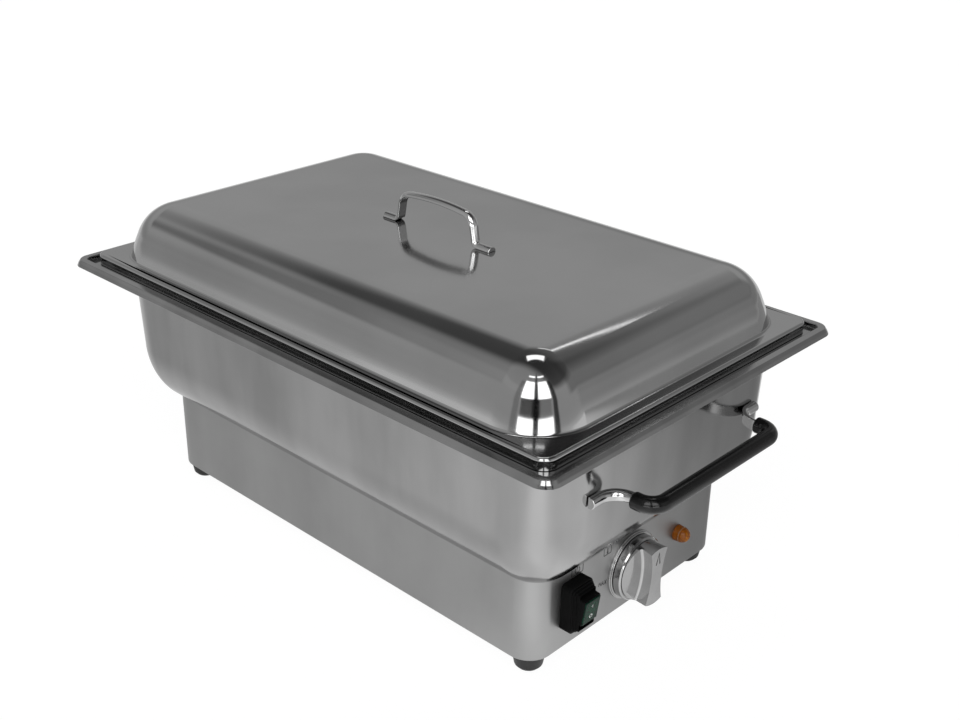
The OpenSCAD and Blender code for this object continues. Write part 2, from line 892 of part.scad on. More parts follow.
module run_between(a, b, d) {
    len = norm(b - a);
    along_x = abs(b[0] - a[0]) > len / 2;
    along_y = abs(b[1] - a[1]) > len / 2;
    low = along_x ? (a[0] < b[0] ? a : b) : along_y ? (a[1] < b[1] ? a : b) : (a[2] < b[2] ? a : b);
    translate(low)
        rotate(along_x ? [0, 90, 0] : along_y ? [-90, 0, 0] : [0, 0, 0])
            cylinder(h = len, d = d);
}

module capillary_tube() color([0.75, 0.52, 0.38])
    lead([[stat_rear_x, bulb_y, capillary_z], [capillary_in_x, bulb_y, capillary_z],
        [capillary_in_x, bulb_y, bulb_z], [bulb_rear_x, bulb_y, bulb_z]], capillary_d);

// Rocker switch under its boot
module switch_frame() color([0.05, 0.05, 0.05])
    difference() {
        soft_block_x(panel_x + run_gap, panel_x + frame_p, switch_y, switch_z, frame_w, frame_h, frame_r);
        block_x(panel_x - over, panel_x + frame_p + over, switch_y, switch_z,
            body_w + 2 * pass_gap, body_h + 2 * pass_gap);
    }

module switch_boot() color([0.04, 0.04, 0.04])
    difference() {
        for (i = [0 : len(boot_step_shares) - 1])
            soft_block_x(panel_x + frame_p + run_gap,
                panel_x + frame_p + boot_step_shares[i][1] * (boot_p - frame_p),
                switch_y, switch_z, boot_w * boot_step_shares[i][0], boot_h * boot_step_shares[i][0], frame_r);
        block_x(panel_x, panel_x + boot_p + over, switch_y, switch_z,
            rocker_w + 4 * rocker_side, rocker_h + rocker_room);
    }

module switch_body() color([0.08, 0.08, 0.08])
    difference() {
        block_x(panel_x - body_in, panel_x + body_p, switch_y, switch_z, body_w, body_h);
        block_x(panel_x - over, panel_x + body_p + over, switch_y, switch_z,
            rocker_w + 2 * rocker_side, rocker_h + rocker_room);
        translate([panel_x + rocker_hub, switch_y - body_w / 2 - over, switch_z])
            rotate([-90, 0, 0])
                cylinder(h = body_w + 2 * over, d = rocker_pin_d + 2 * run_gap);
    }

blade_y = 5;
blade_rise = 7;
switch_rear_x = panel_x - body_in;

module switch_terminals() color([0.8, 0.7, 0.4])
    for (side = [-1, 1])
        for (level = [-1, 1])
            block_x(switch_rear_x - blade_l, switch_rear_x, switch_y + side * blade_y,
                switch_z + level * blade_rise, blade_t, blade_w);

// Puts its children on the tilted rocker, measured outwards from the panel
module on_rocker() {
    translate([panel_x + rocker_hub, switch_y, switch_z])
        rotate([0, rocker_tilt, 0])
            translate([-rocker_hub, 0, 0])
                children();
}

module switch_rocker() color([0.05, 0.06, 0.05])
    on_rocker() {
        difference() {
            block_x(rocker_back, rocker_front, 0, 0, rocker_w, rocker_h);
            block_x(rocker_front - window_t - run_gap, rocker_front + over, 0, 0,
                window_w + 2 * run_gap, window_h + 2 * run_gap);
        }
        translate([rocker_hub, -rocker_pin_l / 2, 0])
            rotate([-90, 0, 0])
                cylinder(h = rocker_pin_l, d = rocker_pin_d);
    }

module rocker_window() color([0.1, 0.35, 0.22])
    on_rocker()
        block_x(rocker_front - window_t, rocker_front + window_t / 2, 0, 0, window_w, window_h);

// Pilot lamp
lamp_neck_p = lens_waist_p;
lens_dome = lens_d / 2;

module lamp_body() color([0.15, 0.15, 0.15]) {
    rod_x(panel_x - lamp_in, panel_x + run_gap, lamp_y, lamp_z, lamp_d);
    rod_x(panel_x + run_gap, panel_x + lamp_collar_t, lamp_y, lamp_z, lamp_collar_d);
}

module lamp_nut() color([0.2, 0.2, 0.2])
    difference() {
        translate([inner_x - run_gap - lamp_nut_t, lamp_y, lamp_z])
            rotate([0, 90, 0])
                cylinder(h = lamp_nut_t, d = lamp_nut_d, $fn = 6);
        rod_x(inner_x - lamp_nut_t - over, inner_x + over, lamp_y, lamp_z, lamp_d + run_gap);
    }

module lamp_lens() color([0.8, 0.42, 0.05])
    union() {
        rod_x(panel_x + lamp_collar_t, panel_x + lamp_neck_p, lamp_y, lamp_z, lens_d);
        rod_x(panel_x + lamp_collar_t, panel_x + lamp_neck_p + lens_ring_t, lamp_y, lamp_z, lens_neck_d);
        translate([panel_x + lamp_neck_p + lens_ring_t, lamp_y, lamp_z])
            rotate([0, 90, 0])
                rotate_extrude()
                    intersection() {
                        translate([0, lens_p - lamp_neck_p - lens_ring_t - lens_dome])
                            circle(lens_dome);
                        square([lens_d, lens_p]);
                    }
    }

module lamp_ring() color([0.85, 0.72, 0.6])
    difference() {
        rod_x(panel_x + lamp_neck_p + run_gap, panel_x + lamp_neck_p + lens_ring_t - run_gap, lamp_y, lamp_z,
            lens_d + 2 * lens_ring_over);
        rod_x(panel_x, panel_x + lens_p, lamp_y, lamp_z, lens_neck_d + 2 * run_gap);
    }

// Cable gland on the rear end
module cable_gland() color([0.08, 0.08, 0.08])
    difference() {
        union() {
            rod_x(-panel_x - run_gap, -inner_x + gland_thread_in, 0, gland_z, gland_thread_d);
            translate([-panel_x - run_gap - gland_flange_t, 0, gland_z])
                rotate([0, 90, 0])
                    cylinder(h = gland_flange_t, d = gland_flange_d, $fn = 6);
            rod_x(-panel_x - gland_dome_p, -panel_x - gland_flange_t, 0, gland_z, gland_dome_d);
        }
        rod_x(-panel_x - gland_dome_p - over, -panel_x, 0, gland_z, cable_d);
        rod_x(-panel_x - gland_flange_t, -inner_x + gland_thread_in + over, 0, gland_z, gland_bore_d);
    }

module gland_locknut() color([0.1, 0.1, 0.1])
    difference() {
        translate([-inner_x + run_gap, 0, gland_z])
            rotate([0, 90, 0])
                cylinder(h = gland_nut_t, d = gland_nut_d, $fn = 6);
        rod_x(-inner_x - over, -inner_x + gland_nut_t + over, 0, gland_z, gland_thread_d + run_gap);
    }

// Terminal block, earth stud and leads on the base plate
block_in = 54.8;
block_x_mid = block_in - panel_x;
block_depth = 20;
block_w = 38;
block_h = 18;
pole_gap = 9;
pole_d = 4.5;
pole_depth = 6;
block_front_x = block_x_mid + block_depth / 2;
block_z = plate_top_z + 2 * seat;
pole_z = block_z + block_h / 2;
stud_earth_in = 39.8;
stud_earth_x = stud_earth_in - panel_x;
stud_earth_y = 70;
stud_earth_h = 20;
earth_nut_d = 9.2;
earth_nut_h = 4;
lug_z = block_z + earth_nut_h + seat;
lug_d = 12;
lug_t = 1;

module terminal_block() color([0.9, 0.88, 0.82])
    difference() {
        translate([block_x_mid, 0, block_z + block_h / 2])
            cube([block_depth, block_w, block_h], center = true);
        for (i = [0 : 3])
            translate([block_x_mid, (i - 1.5) * pole_gap, block_z + block_h - pole_depth])
                cylinder(h = pole_depth + over, d = pole_d);
    }

module earth_stud() color([0.7, 0.7, 0.7]) {
    translate([stud_earth_x, stud_earth_y, plate_top_z + 1.5 * seat])
        cylinder(h = stud_earth_h, d = stud_d);
}

module earth_nuts() color([0.75, 0.7, 0.45])
    for (level = [0, 1])
        translate([stud_earth_x, stud_earth_y, block_z + level * (earth_nut_h + lug_t + 2 * seat)])
            difference() {
                cylinder(h = earth_nut_h, d = earth_nut_d, $fn = 6);
                translate([0, 0, -over])
                    cylinder(h = earth_nut_h + 2 * over, d = stud_d + run_gap);
            }

lead_d = 2.8;
lead_z = block_z + block_h / 2;
near_in = 48.8;
near_x = panel_x - near_in;
lane = 6;
turn_run = 30;
turn_x = block_front_x + turn_run;
heater_z = 34;
pole_y = [for (i = [0 : 3]) (i - 1.5) * pole_gap];
blade_x = switch_rear_x - blade_l;
stat_blade_x = stat_rear_x - blade_l;
pin_z = element_tip_z - pin_l;
cutout_pin_z = cutout_z - cutout_pin_l;

// Lead from the terminal block to one lower blade of the switch
module supply_lead(i) {
    y = switch_y + (i == 0 ? -blade_y : blade_y);
    x_turn = turn_x + i * lane;
    x_rise = near_x + i * lane;
    z_end = switch_z - blade_rise;
    lead([[block_front_x, pole_y[i], lead_z], [x_turn, pole_y[i], lead_z], [x_turn, y, lead_z],
        [x_rise, y, lead_z], [x_rise, y, z_end], [blade_x, y, z_end]], lead_d);
}

module supply_leads() color([0.5, 0.25, 0.1]) {
    supply_lead(0);
    supply_lead(1);
}

module switch_leads() color([0.15, 0.15, 0.15]) {
    z_top = switch_z + blade_rise;
    stat_y = knob_y - stat_blade_y;
    stat_z = knob_z - stat_blade_low;
    x_live = near_x - lane;
    x_return = x_live - lane;
    y_live = switch_y - blade_y;
    y_return = switch_y + blade_y;
    lead([[blade_x, y_live, z_top], [x_live, y_live, z_top], [x_live, y_live, stat_z], [x_live, stat_y, stat_z],
        [stat_blade_x, stat_y, stat_z]], lead_d);
    lead([[blade_x, y_return, z_top], [x_return, y_return, z_top], [x_return, y_return, heater_z],
        [x_return, -element_gap / 2, heater_z], [element_tip_x, -element_gap / 2, heater_z],
        [element_tip_x, -element_gap / 2, pin_z]], lead_d);
}

module heater_leads() color([0.85, 0.84, 0.8]) {
    stat_y = knob_y + stat_blade_y;
    stat_z = knob_z - stat_blade_low;
    pin_front_x = cutout_x + cutout_pin_gap / 2;
    pin_rear_x = cutout_x - cutout_pin_gap / 2;
    z_front = heater_z;
    z_rear = heater_z + lane;
    lead([[stat_blade_x, stat_y, stat_z], [near_x, stat_y, stat_z], [near_x, stat_y, z_front],
        [pin_front_x, stat_y, z_front], [pin_front_x, cutout_y, z_front],
        [pin_front_x, cutout_y, cutout_pin_z]], lead_d);
    lead([[pin_rear_x, cutout_y, cutout_pin_z], [pin_rear_x, cutout_y, z_rear],
        [pin_rear_x, element_gap / 2, z_rear], [element_tip_x, element_gap / 2, z_rear],
        [element_tip_x, element_gap / 2, pin_z]], lead_d);
}

lamp_pin_gap = 6;
lamp_rear_x = panel_x - lamp_in;

module lamp_leads() color([0.2, 0.3, 0.6]) {
    x_live = near_x + lane / 2;
    x_return = near_x - lane / 2;
    y_live = lamp_y - lamp_pin_gap / 2;
    y_return = lamp_y + lamp_pin_gap / 2;
    stat_z = knob_z + stat_blade_high;
    z_return = lead_z + lane / 2;
    lead([[lamp_rear_x, y_live, lamp_z], [x_live, y_live, lamp_z], [x_live, y_live, stat_z],
        [x_live, knob_y, stat_z], [stat_blade_x, knob_y, stat_z]], lead_d);
    lead([[lamp_rear_x, y_return, lamp_z], [x_return, y_return, lamp_z], [x_return, y_return, z_return],
        [turn_x - lane, y_return, z_return], [turn_x - lane, pole_y[2], z_return],
        [block_front_x, pole_y[2], z_return]], lead_d);
}

module earth_lead() color([0.35, 0.6, 0.2]) {
    x_turn = turn_x - 3 * lane;
    z_lug = lug_z + lug_t / 2;
    lead([[block_front_x, pole_y[3], lead_z], [x_turn, pole_y[3], lead_z], [x_turn, stud_earth_y, lead_z],
        [x_turn, stud_earth_y, z_lug], [stud_earth_x + lug_d / 2 - lug_t, stud_earth_y, z_lug]], lug_t);
    difference() {
        translate([stud_earth_x, stud_earth_y, lug_z])
            cylinder(h = lug_t, d = lug_d);
        translate([stud_earth_x, stud_earth_y, lug_z - over])
            cylinder(h = lug_t + 2 * over, d = stud_d + run_gap);
    }
}

// Food pan: well, flat rim and turned-down edge
module food_pan() color([0.68, 0.68, 0.68]) {
    well_top = pan_top_z;
    well_low = pan_top_z - well_depth - pan_t;
    swept(well_l, well_w, well_r)
        difference() {
            bowl_half(well_r, well_r - basin_draft, well_fillet, well_low, well_top);
            bowl_half(well_r - pan_t, well_r - basin_draft - pan_t, well_fillet - pan_t, well_low + pan_t,
                well_top + over);
        }
    translate([0, 0, well_low + pan_t / 2])
        cube([well_l - 2 * well_r, well_w - 2 * well_r, pan_t], center = true);
    plate_ring(pan_l - 2 * pan_edge_fillet, pan_w - 2 * pan_edge_fillet, pan_r - pan_edge_fillet,
        well_l - 2 * pan_t, well_w - 2 * pan_t, well_r - pan_t, pan_top_z - pan_t, pan_t);
    swept(pan_l, pan_w, pan_r)
        turned_edge(pan_r, ledge_z + seat, pan_top_z, pan_edge_fillet, pan_t);
}

// Lid: skirt, flat flange and dome
module lid_shell() color([0.6, 0.6, 0.6]) {
    wall = lid_t / cos(dome_lean);
    swept(dome_l, dome_w, dome_r)
        difference() {
            dome_half(dome_r, dome_fillet, lid_under_z, lid_top_z);
            dome_half(dome_r - wall, dome_fillet - lid_t, lid_under_z - over, lid_top_z - lid_t);
        }
    translate([0, 0, lid_top_z - lid_t / 2])
        cube([dome_l - 2 * dome_r, dome_w - 2 * dome_r, lid_t], center = true);
    plate_ring(lid_l - 2 * skirt_fillet, lid_w - 2 * skirt_fillet, lid_r - skirt_fillet,
        dome_l - 2 * lid_t, dome_w - 2 * lid_t, dome_r - lid_t, lid_under_z, lid_t);
    swept(lid_l, lid_w, lid_r)
        turned_edge(lid_r, flange_z - skirt_h, flange_z, skirt_fillet, lid_t);
}

// Lid handle: arched bridge, legs and flat feet, drawn upright
lid_foot_bend = 6;
lid_top_bend = 10;
bend_swell = 0.03;
bend_reach = 2;
bridge_ball = bridge_half / sin(bridge_turn);
bridge_in = lid_handle_h - strap_t;
bridge_end = [bridge_half, bridge_in - bridge_ball * (1 - cos(bridge_turn))];
top_mid = bridge_end + lid_top_bend * [-sin(bridge_turn), -cos(bridge_turn)];
leg_top = top_mid + lid_top_bend * [sin(leg_turn), cos(leg_turn)];
leg_len = (leg_top[1] - lid_foot_bend * (1 - cos(leg_turn))) / sin(leg_turn);
leg_low = leg_top + leg_len * [cos(leg_turn), -sin(leg_turn)];
foot_mid = leg_low + lid_foot_bend * [sin(leg_turn), cos(leg_turn)];

module bent_strap(radius) {
    translate([radius - bend_swell, 0])
        d_section(strap_w + 2 * bend_swell, strap_t + 2 * bend_swell);
}

module lid_handle_half() {
    arc(top_mid, 90 - leg_turn - bend_reach, 90 - bridge_turn + bend_reach)
        bent_strap(lid_top_bend);
    stretch(leg_low, 180 - leg_turn, leg_len)
        mirror([1, 0])
            d_section(strap_w, strap_t);
    arc(foot_mid, 270 - leg_turn - bend_reach, 270 + bend_reach)
        mirror([1, 0])
            bent_strap(-lid_foot_bend);
    stretch([foot_mid[0], 0], 0, lid_handle_l / 2 - foot_mid[0])
        d_section(strap_w, strap_t);
}

module lid_handle() color([0.7, 0.7, 0.7])
    translate([lid_handle_x, 0, lid_top_z + run_gap])
        rotate([90, 0, 0]) {
            arc([0, bridge_in - bridge_ball], 90 - bridge_turn, 90 + bridge_turn)
                translate([bridge_ball, 0])
                    d_section(strap_w, strap_t);
            for (side = [0, 1])
                mirror([side, 0, 0])
                    lid_handle_half();
        }

water_basin();
lower_housing();
base_plate();
base_plate_screws();
rubber_feet();
foot_screws();
foot_nuts();
handle_bar_front();
handle_bar_rear();
grip_sleeve_front();
grip_sleeve_rear();
heating_element();
element_terminals();
spreader_plate();
clamp_bars();
clamp_studs();
clamp_nuts();
thermostat_body();
thermostat_terminals();
thermostat_screws();
thermostat_spindle();
thermostat_knob();
knob_bezel();
capillary_tube();
sensor_bulb();
bulb_clip();
thermal_cutout();
cutout_bracket();
switch_frame();
switch_boot();
switch_body();
switch_terminals();
switch_rocker();
rocker_window();
lamp_body();
lamp_nut();
lamp_lens();
lamp_ring();
cable_gland();
gland_locknut();
terminal_block();
earth_stud();
earth_nuts();
supply_leads();
switch_leads();
heater_leads();
lamp_leads();
earth_lead();
food_pan();
lid_shell();
lid_handle();
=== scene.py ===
"""Dresses the electric chafing dish: smooth pressed steel, moulded plastic, rubber and print."""

import sys
import json
import logging
import math
from dataclasses import dataclass, field
from enum import Enum
from functools import reduce
from operator import add, mul
from typing import Callable, Optional, Sequence, Union

import bmesh
import bpy
from mathutils import Matrix, Vector

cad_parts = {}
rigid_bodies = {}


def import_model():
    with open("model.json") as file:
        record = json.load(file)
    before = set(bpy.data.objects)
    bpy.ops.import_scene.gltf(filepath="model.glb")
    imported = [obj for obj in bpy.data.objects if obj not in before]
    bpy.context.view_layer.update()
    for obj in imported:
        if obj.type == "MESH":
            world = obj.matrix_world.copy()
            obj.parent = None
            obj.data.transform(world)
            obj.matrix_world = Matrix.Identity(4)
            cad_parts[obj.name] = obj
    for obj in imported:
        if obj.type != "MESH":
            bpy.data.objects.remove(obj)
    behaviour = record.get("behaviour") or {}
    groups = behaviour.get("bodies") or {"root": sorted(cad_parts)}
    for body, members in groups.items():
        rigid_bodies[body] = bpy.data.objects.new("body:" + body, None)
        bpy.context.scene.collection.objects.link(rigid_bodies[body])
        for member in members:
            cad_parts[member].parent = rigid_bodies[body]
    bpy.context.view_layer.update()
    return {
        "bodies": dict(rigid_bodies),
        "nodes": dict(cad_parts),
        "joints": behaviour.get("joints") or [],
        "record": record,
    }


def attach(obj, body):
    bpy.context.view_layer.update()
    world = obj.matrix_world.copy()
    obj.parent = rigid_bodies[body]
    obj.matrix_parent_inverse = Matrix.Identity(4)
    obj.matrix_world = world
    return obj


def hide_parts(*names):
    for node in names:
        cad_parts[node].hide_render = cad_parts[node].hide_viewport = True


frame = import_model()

log = logging.getLogger("chafing_dish")

MM = 0.001
Pair = tuple[float, float]
Triple = tuple[float, float, float]
Colour = Triple
Place = Callable[[float, float, float], Vector]
Edges = tuple[float, ...]
# Radius from which a turned profile counts as off its axis, and the least radius of a turned row
ON_AXIS, AXIS_RADIUS = 0.01, 0.02
# Length below which a stretch of a section has no direction, and the limit of its mitres
TINY, MITRE = 1e-6, 0.4
# Straight kept beside a bend within a sheet, and inside the bend at its edge
RUN_ON, RUN_IN = 6.0, 5.0
# Least corner radius in a row of a plan
LEAST_CORNER = 0.05
# Turns of the rows that round a bar's end
TIP_TURNS = (0.0, 22.5, 45.0, 67.5, 90.0)
# Metres within which points are one
MERGE = 1e-7
# Thickness of air under the printed marks
INK_GAP = 0.02
# Degrees from which an edge stays sharp: on bent bars, on the knob and elsewhere
BAR_SHARP, KNOB_SHARP, SHARP = 50.0, 32.0, 35.0


# Shader graph


def both_ways(operation: str) -> tuple[Callable, Callable]:
    """Makes an operator that adds a Math node, and its reflected form.

    Args:
        operation: the node's operation.

    Returns:
        The two methods.
    """

    def plain(value: "Value", other: "Term") -> "Value":
        """Puts the value first."""
        return value.math(operation, value, other)

    def reflected(value: "Value", other: "Term") -> "Value":
        """Puts the value second."""
        return value.math(operation, other, value)

    return plain, reflected


class Value:
    """A socket whose arithmetic adds Math nodes."""

    def __init__(self, graph: "Graph", socket: bpy.types.NodeSocket) -> None:
        """Keeps the graph and the socket."""
        self.graph = graph
        self.socket = socket

    def math(self, operation: str, left: "Term", right: "Term") -> "Value":
        """Adds a Math node of two terms and gives its result."""
        return self.graph.node("ShaderNodeMath", {"operation": operation}, {0: left, 1: right})

    __add__, __radd__ = both_ways("ADD")
    __sub__, __rsub__ = both_ways("SUBTRACT")
    __mul__, __rmul__ = both_ways("MULTIPLY")
    __truediv__, __rtruediv__ = both_ways("DIVIDE")

    def capped(self) -> "Value":
        """Keeps the value at one or less."""
        return self.math("MINIMUM", self, 1.0)

    def above(self, least: float) -> "Value":
        """Keeps the value at a least value or more."""
        return self.math("MAXIMUM", self, least)

    def between(self, start: float, end: float) -> "Value":
        """Gives a soft step from nought at the start to one at the end, which may be the lower."""
        settings = {"interpolation_type": "SMOOTHSTEP"}
        sockets = {"Value": self, "From Min": start, "From Max": end}
        return self.graph.node("ShaderNodeMapRange", settings, sockets)

    def within(self, *edges: float) -> "Value":
        """Multiplies the soft steps of one or two pairs of edges."""
        return reduce(mul, [self.between(*pair) for pair in zip(edges[::2], edges[1::2])])


Term = Union[Value, float, Sequence[float]]


class Graph:
    """Adds nodes to one material's or world's tree."""

    def __init__(self, tree: bpy.types.NodeTree) -> None:
        """Clears the tree and keeps it."""
        self.tree = tree
        tree.nodes.clear()

    def node(
        self,
        kind: str,
        settings: Optional[dict[str, object]] = None,
        inputs: Optional[dict[Union[int, str], Term]] = None,
        output: Union[int, str] = 0,
    ) -> Value:
        """Adds a node of any type.

        Args:
            kind: Blender's name of the node type.
            settings: the node's own settings, with a ramp's stops under "stops".
            inputs: values or links of its sockets.
            output: the socket to hand on.

        Returns:
            The chosen output.
        """
        made = self.tree.nodes.new(kind)
        for name, setting in (settings or {}).items():
            if name == "stops":
                self.set_stops(made.color_ramp, setting)
            else:
                setattr(made, name, setting)
        for name, term in (inputs or {}).items():
            if isinstance(term, Value):
                self.tree.links.new(term.socket, made.inputs[name])
            else:
                made.inputs[name].default_value = term
        return Value(self, made.outputs[output] if len(made.outputs) else made.inputs[0])

    @staticmethod
    def set_stops(ramp: bpy.types.ColorRamp, stops: Sequence[Pair]) -> None:
        """Sets a ramp's stops.

        Args:
            ramp: the ramp.
            stops: pairs of place and grey level.
        """
        while len(ramp.elements) < len(stops):
            ramp.elements.new(1.0)
        for element, (place, level) in zip(ramp.elements, stops):
            element.position = place
            element.color = (*grey(level), 1.0)

    def point(self) -> Value:
        """Gives the place on the piece, in metres."""
        return self.node("ShaderNodeTexCoord", output="Object")

    def parts(self, point: Value) -> list[Value]:
        """Splits a place or a direction into X, Y and Z."""
        return [self.node("ShaderNodeSeparateXYZ", {}, {0: point}, axis) for axis in "XYZ"]

    def ray(self, kind: str) -> Value:
        """Gives one for rays of a kind, such as Camera."""
        return self.node("ShaderNodeLightPath", output=f"Is {kind} Ray")

    def stretched(self, point: Value, factors: Triple) -> Value:
        """Scales a place by its own factor along each axis."""
        return self.node("ShaderNodeVectorMath", {"operation": "MULTIPLY"}, {0: point, 1: factors})

    def noise(self, point: Value, scale: float, detail: float = 3.0) -> Value:
        """Gives noise around a half, with a number of cells in a metre and of octaves."""
        sockets = {"Vector": point, "Scale": scale, "Detail": detail}
        return self.node("ShaderNodeTexNoise", {}, sockets, "Fac")

    def tint(self, mask: Value, low: Colour, high: Colour) -> Value:
        """Mixes from the first colour to the second by a mask."""
        sockets = {0: mask, 6: (*low, 1.0), 7: (*high, 1.0)}
        return self.node("ShaderNodeMix", {"data_type": "RGBA"}, sockets, 2)

    def bump(self, height: Value, distance: float, strength: float) -> Value:
        """Turns a height into a normal, with the metres for a height of one."""
        sockets = {"Height": height, "Distance": distance, "Strength": strength}
        return self.node("ShaderNodeBump", {}, sockets)

    def finish(self, **sockets: Term) -> None:
        """Adds the surface shader, its sockets named with _ for a space, and joins it up."""
        named = {name.replace("_", " "): term for name, term in sockets.items()}
        self.close(self.node("ShaderNodeBsdfPrincipled", {}, named))

    def close(self, shader: Value, kind: str = "Material") -> None:
        """Joins a shader to the output."""
        self.node("ShaderNodeOutput" + kind, {}, {"Surface": shader})


def grey(level: float) -> Colour:
    """Gives a grey."""
    return (level, level, level)


def shade(colour: Colour, factor: float) -> Colour:
    """Scales a colour."""
    return (colour[0] * factor, colour[1] * factor, colour[2] * factor)


# Finishes


@dataclass(frozen=True)
class Finish:
    """A finish makes one material, kept for the pieces that share it."""

    name: str

    def build(self, graph: Graph) -> None:
        """Adds the nodes of the finish."""
        raise NotImplementedError

    def material(self) -> bpy.types.Material:
        """Gives the finish's material, making it once."""
        known = bpy.data.materials.get("finish_" + self.name)
        if known is None:
            known = bpy.data.materials.new("finish_" + self.name)
            known.use_nodes = True
            self.build(Graph(known.node_tree))
        return known


@dataclass(frozen=True)
class Steel(Finish):
    """Polished sheet or drawn metal: clouds, runs, scuffs, fine grain and waves in the sheet."""

    colour: Colour
    roughness: float
    cloud: float
    cloud_scale: float = 9.0
    grain: Triple = (40.0, 900.0, 900.0)
    grain_depth: float = 0.000002
    grain_rough: float = 0.03
    wave_depth: float = 0.0002
    wave_scale: float = 5.0
    smear: float = 0.0
    smear_cells: Triple = (24.0, 24.0, 5.0)
    blot_edges: Pair = (0.3, 0.7)
    plain_spread: float = 0.05
    smear_spread: float = 0.16
    scuff_cells: Triple = (260.0, 30.0, 90.0)
    scuff_edges: Pair = (0.62, 0.8)
    scuff_rough: float = 0.04
    relief: float = 0.35

    def build(self, graph: Graph) -> None:
        """Adds blots to the tone, grain and scuffs to the gloss, grain and waves to the normal."""
        point = graph.point()
        cloud = graph.noise(point, self.cloud_scale, 4.0)
        fine = graph.noise(graph.stretched(point, self.grain), 1.0, 2.0)
        scuff = graph.noise(graph.stretched(point, self.scuff_cells), 1.0, 4.0)
        wave = graph.noise(point, self.wave_scale, 1.0)
        runs = graph.noise(graph.stretched(point, self.smear_cells), 1.0, 3.0)
        blot = (cloud * (1.0 - self.smear) + runs * self.smear).between(*self.blot_edges)
        spread = self.plain_spread + self.smear * self.smear_spread
        rough = self.roughness + (blot - 0.5) * self.cloud + (fine - 0.5) * self.grain_rough
        height = wave * self.wave_depth + fine * self.grain_depth
        graph.finish(
            Base_Color=graph.tint(
                blot, shade(self.colour, 1.0 - spread), shade(self.colour, 1.0 + spread)
            ),
            Metallic=1.0,
            Roughness=rough + scuff.between(*self.scuff_edges) * self.scuff_rough,
            Normal=graph.bump(height, 1.0, self.relief),
        )


@dataclass(frozen=True)
class Plastic(Finish):
    """Moulded plastic or rubber with a fine texture, dusty patches and a set shine."""

    colour: Colour
    roughness: float
    texture: float = 0.00002
    texture_scale: float = 2600.0
    texture_rough: float = 0.04
    dust: float = 0.02
    dust_scale: float = 60.0
    dust_edges: Pair = (0.35, 0.8)
    dust_rough: float = 0.16
    coat: float = 0.0
    coat_roughness: float = 0.08
    shine: float = 0.4
    relief: float = 0.6

    def build(self, graph: Graph) -> None:
        """Adds moulded grain, dull patches and faint dust."""
        point = graph.point()
        cell = graph.noise(point, self.texture_scale, 2.0)
        patch = graph.noise(point, self.dust_scale, 4.0)
        red, green, blue = shade(self.colour, 1.0 - self.dust)
        pale = (red + self.dust, green + self.dust, blue + self.dust)
        dull = (patch - 0.5) * self.dust_rough + (cell - 0.5) * self.texture_rough
        graph.finish(
            Base_Color=graph.tint(patch.between(*self.dust_edges), self.colour, pale),
            Roughness=self.roughness + dull,
            Specular_IOR_Level=self.shine,
            Coat_Weight=self.coat,
            Coat_Roughness=self.coat_roughness,
            Normal=graph.bump(cell, self.texture, self.relief),
        )


@dataclass(frozen=True)
class Lens(Finish):
    """Tinted plastic, deeper in colour towards its rim and in cells, with moulded ribs inside."""

    colour: Colour
    deep: Colour
    centre: Triple
    reach: float = 0.007
    coat: float = 0.2
    shine: float = 0.15
    cells: float = 520.0
    cell_edges: Pair = (0.42, 0.6)
    rim_edges: Pair = (0.3, 1.0)
    ribs: Triple = (300.0, 900.0, 900.0)
    rib_depth: float = 0.00005
    rib_rough: float = 0.12
    roughness: float = 0.16
    coat_roughness: float = 0.03
    relief: float = 0.4

    def build(self, graph: Graph) -> None:
        """Adds a change of colour from the centre out, cells and faint ribs."""
        point = graph.point()
        ends = {0: point, 1: self.centre}
        away = graph.node("ShaderNodeVectorMath", {"operation": "DISTANCE"}, ends, "Value")
        cells = graph.noise(point, self.cells, 2.0).between(*self.cell_edges)
        share = ((away / self.reach).between(*self.rim_edges) + cells).capped()
        rib = graph.noise(graph.stretched(point, self.ribs), 1.0, 1.0)
        graph.finish(
            Base_Color=graph.tint(share, self.colour, self.deep),
            Roughness=self.roughness + rib * self.rib_rough,
            Specular_IOR_Level=self.shine,
            Coat_Weight=self.coat,
            Coat_Roughness=self.coat_roughness,
            Normal=graph.bump(rib, self.rib_depth, self.relief),
        )


@dataclass(frozen=True)
class Ink(Finish):
    """Printed ink with slightly uneven cover."""

    colour: Colour
    spots: float = 2200.0
    thin: float = 0.7
    full: float = 1.4
    roughness: float = 0.45
    spot_rough: float = 0.2

    def build(self, graph: Graph) -> None:
        """Adds an uneven tone."""
        spot = graph.noise(graph.point(), self.spots, 3.0)
        tone = graph.tint(spot, shade(self.colour, self.thin), shade(self.colour, self.full))
        graph.finish(Base_Color=tone, Roughness=self.roughness + spot * self.spot_rough)


UPRIGHT_GRAIN = (900.0, 900.0, 40.0)
PRINT_GREY = Ink("print_grey", grey(0.012))
PRINT_WHITE = Ink("print_white", (0.7, 0.72, 0.7))


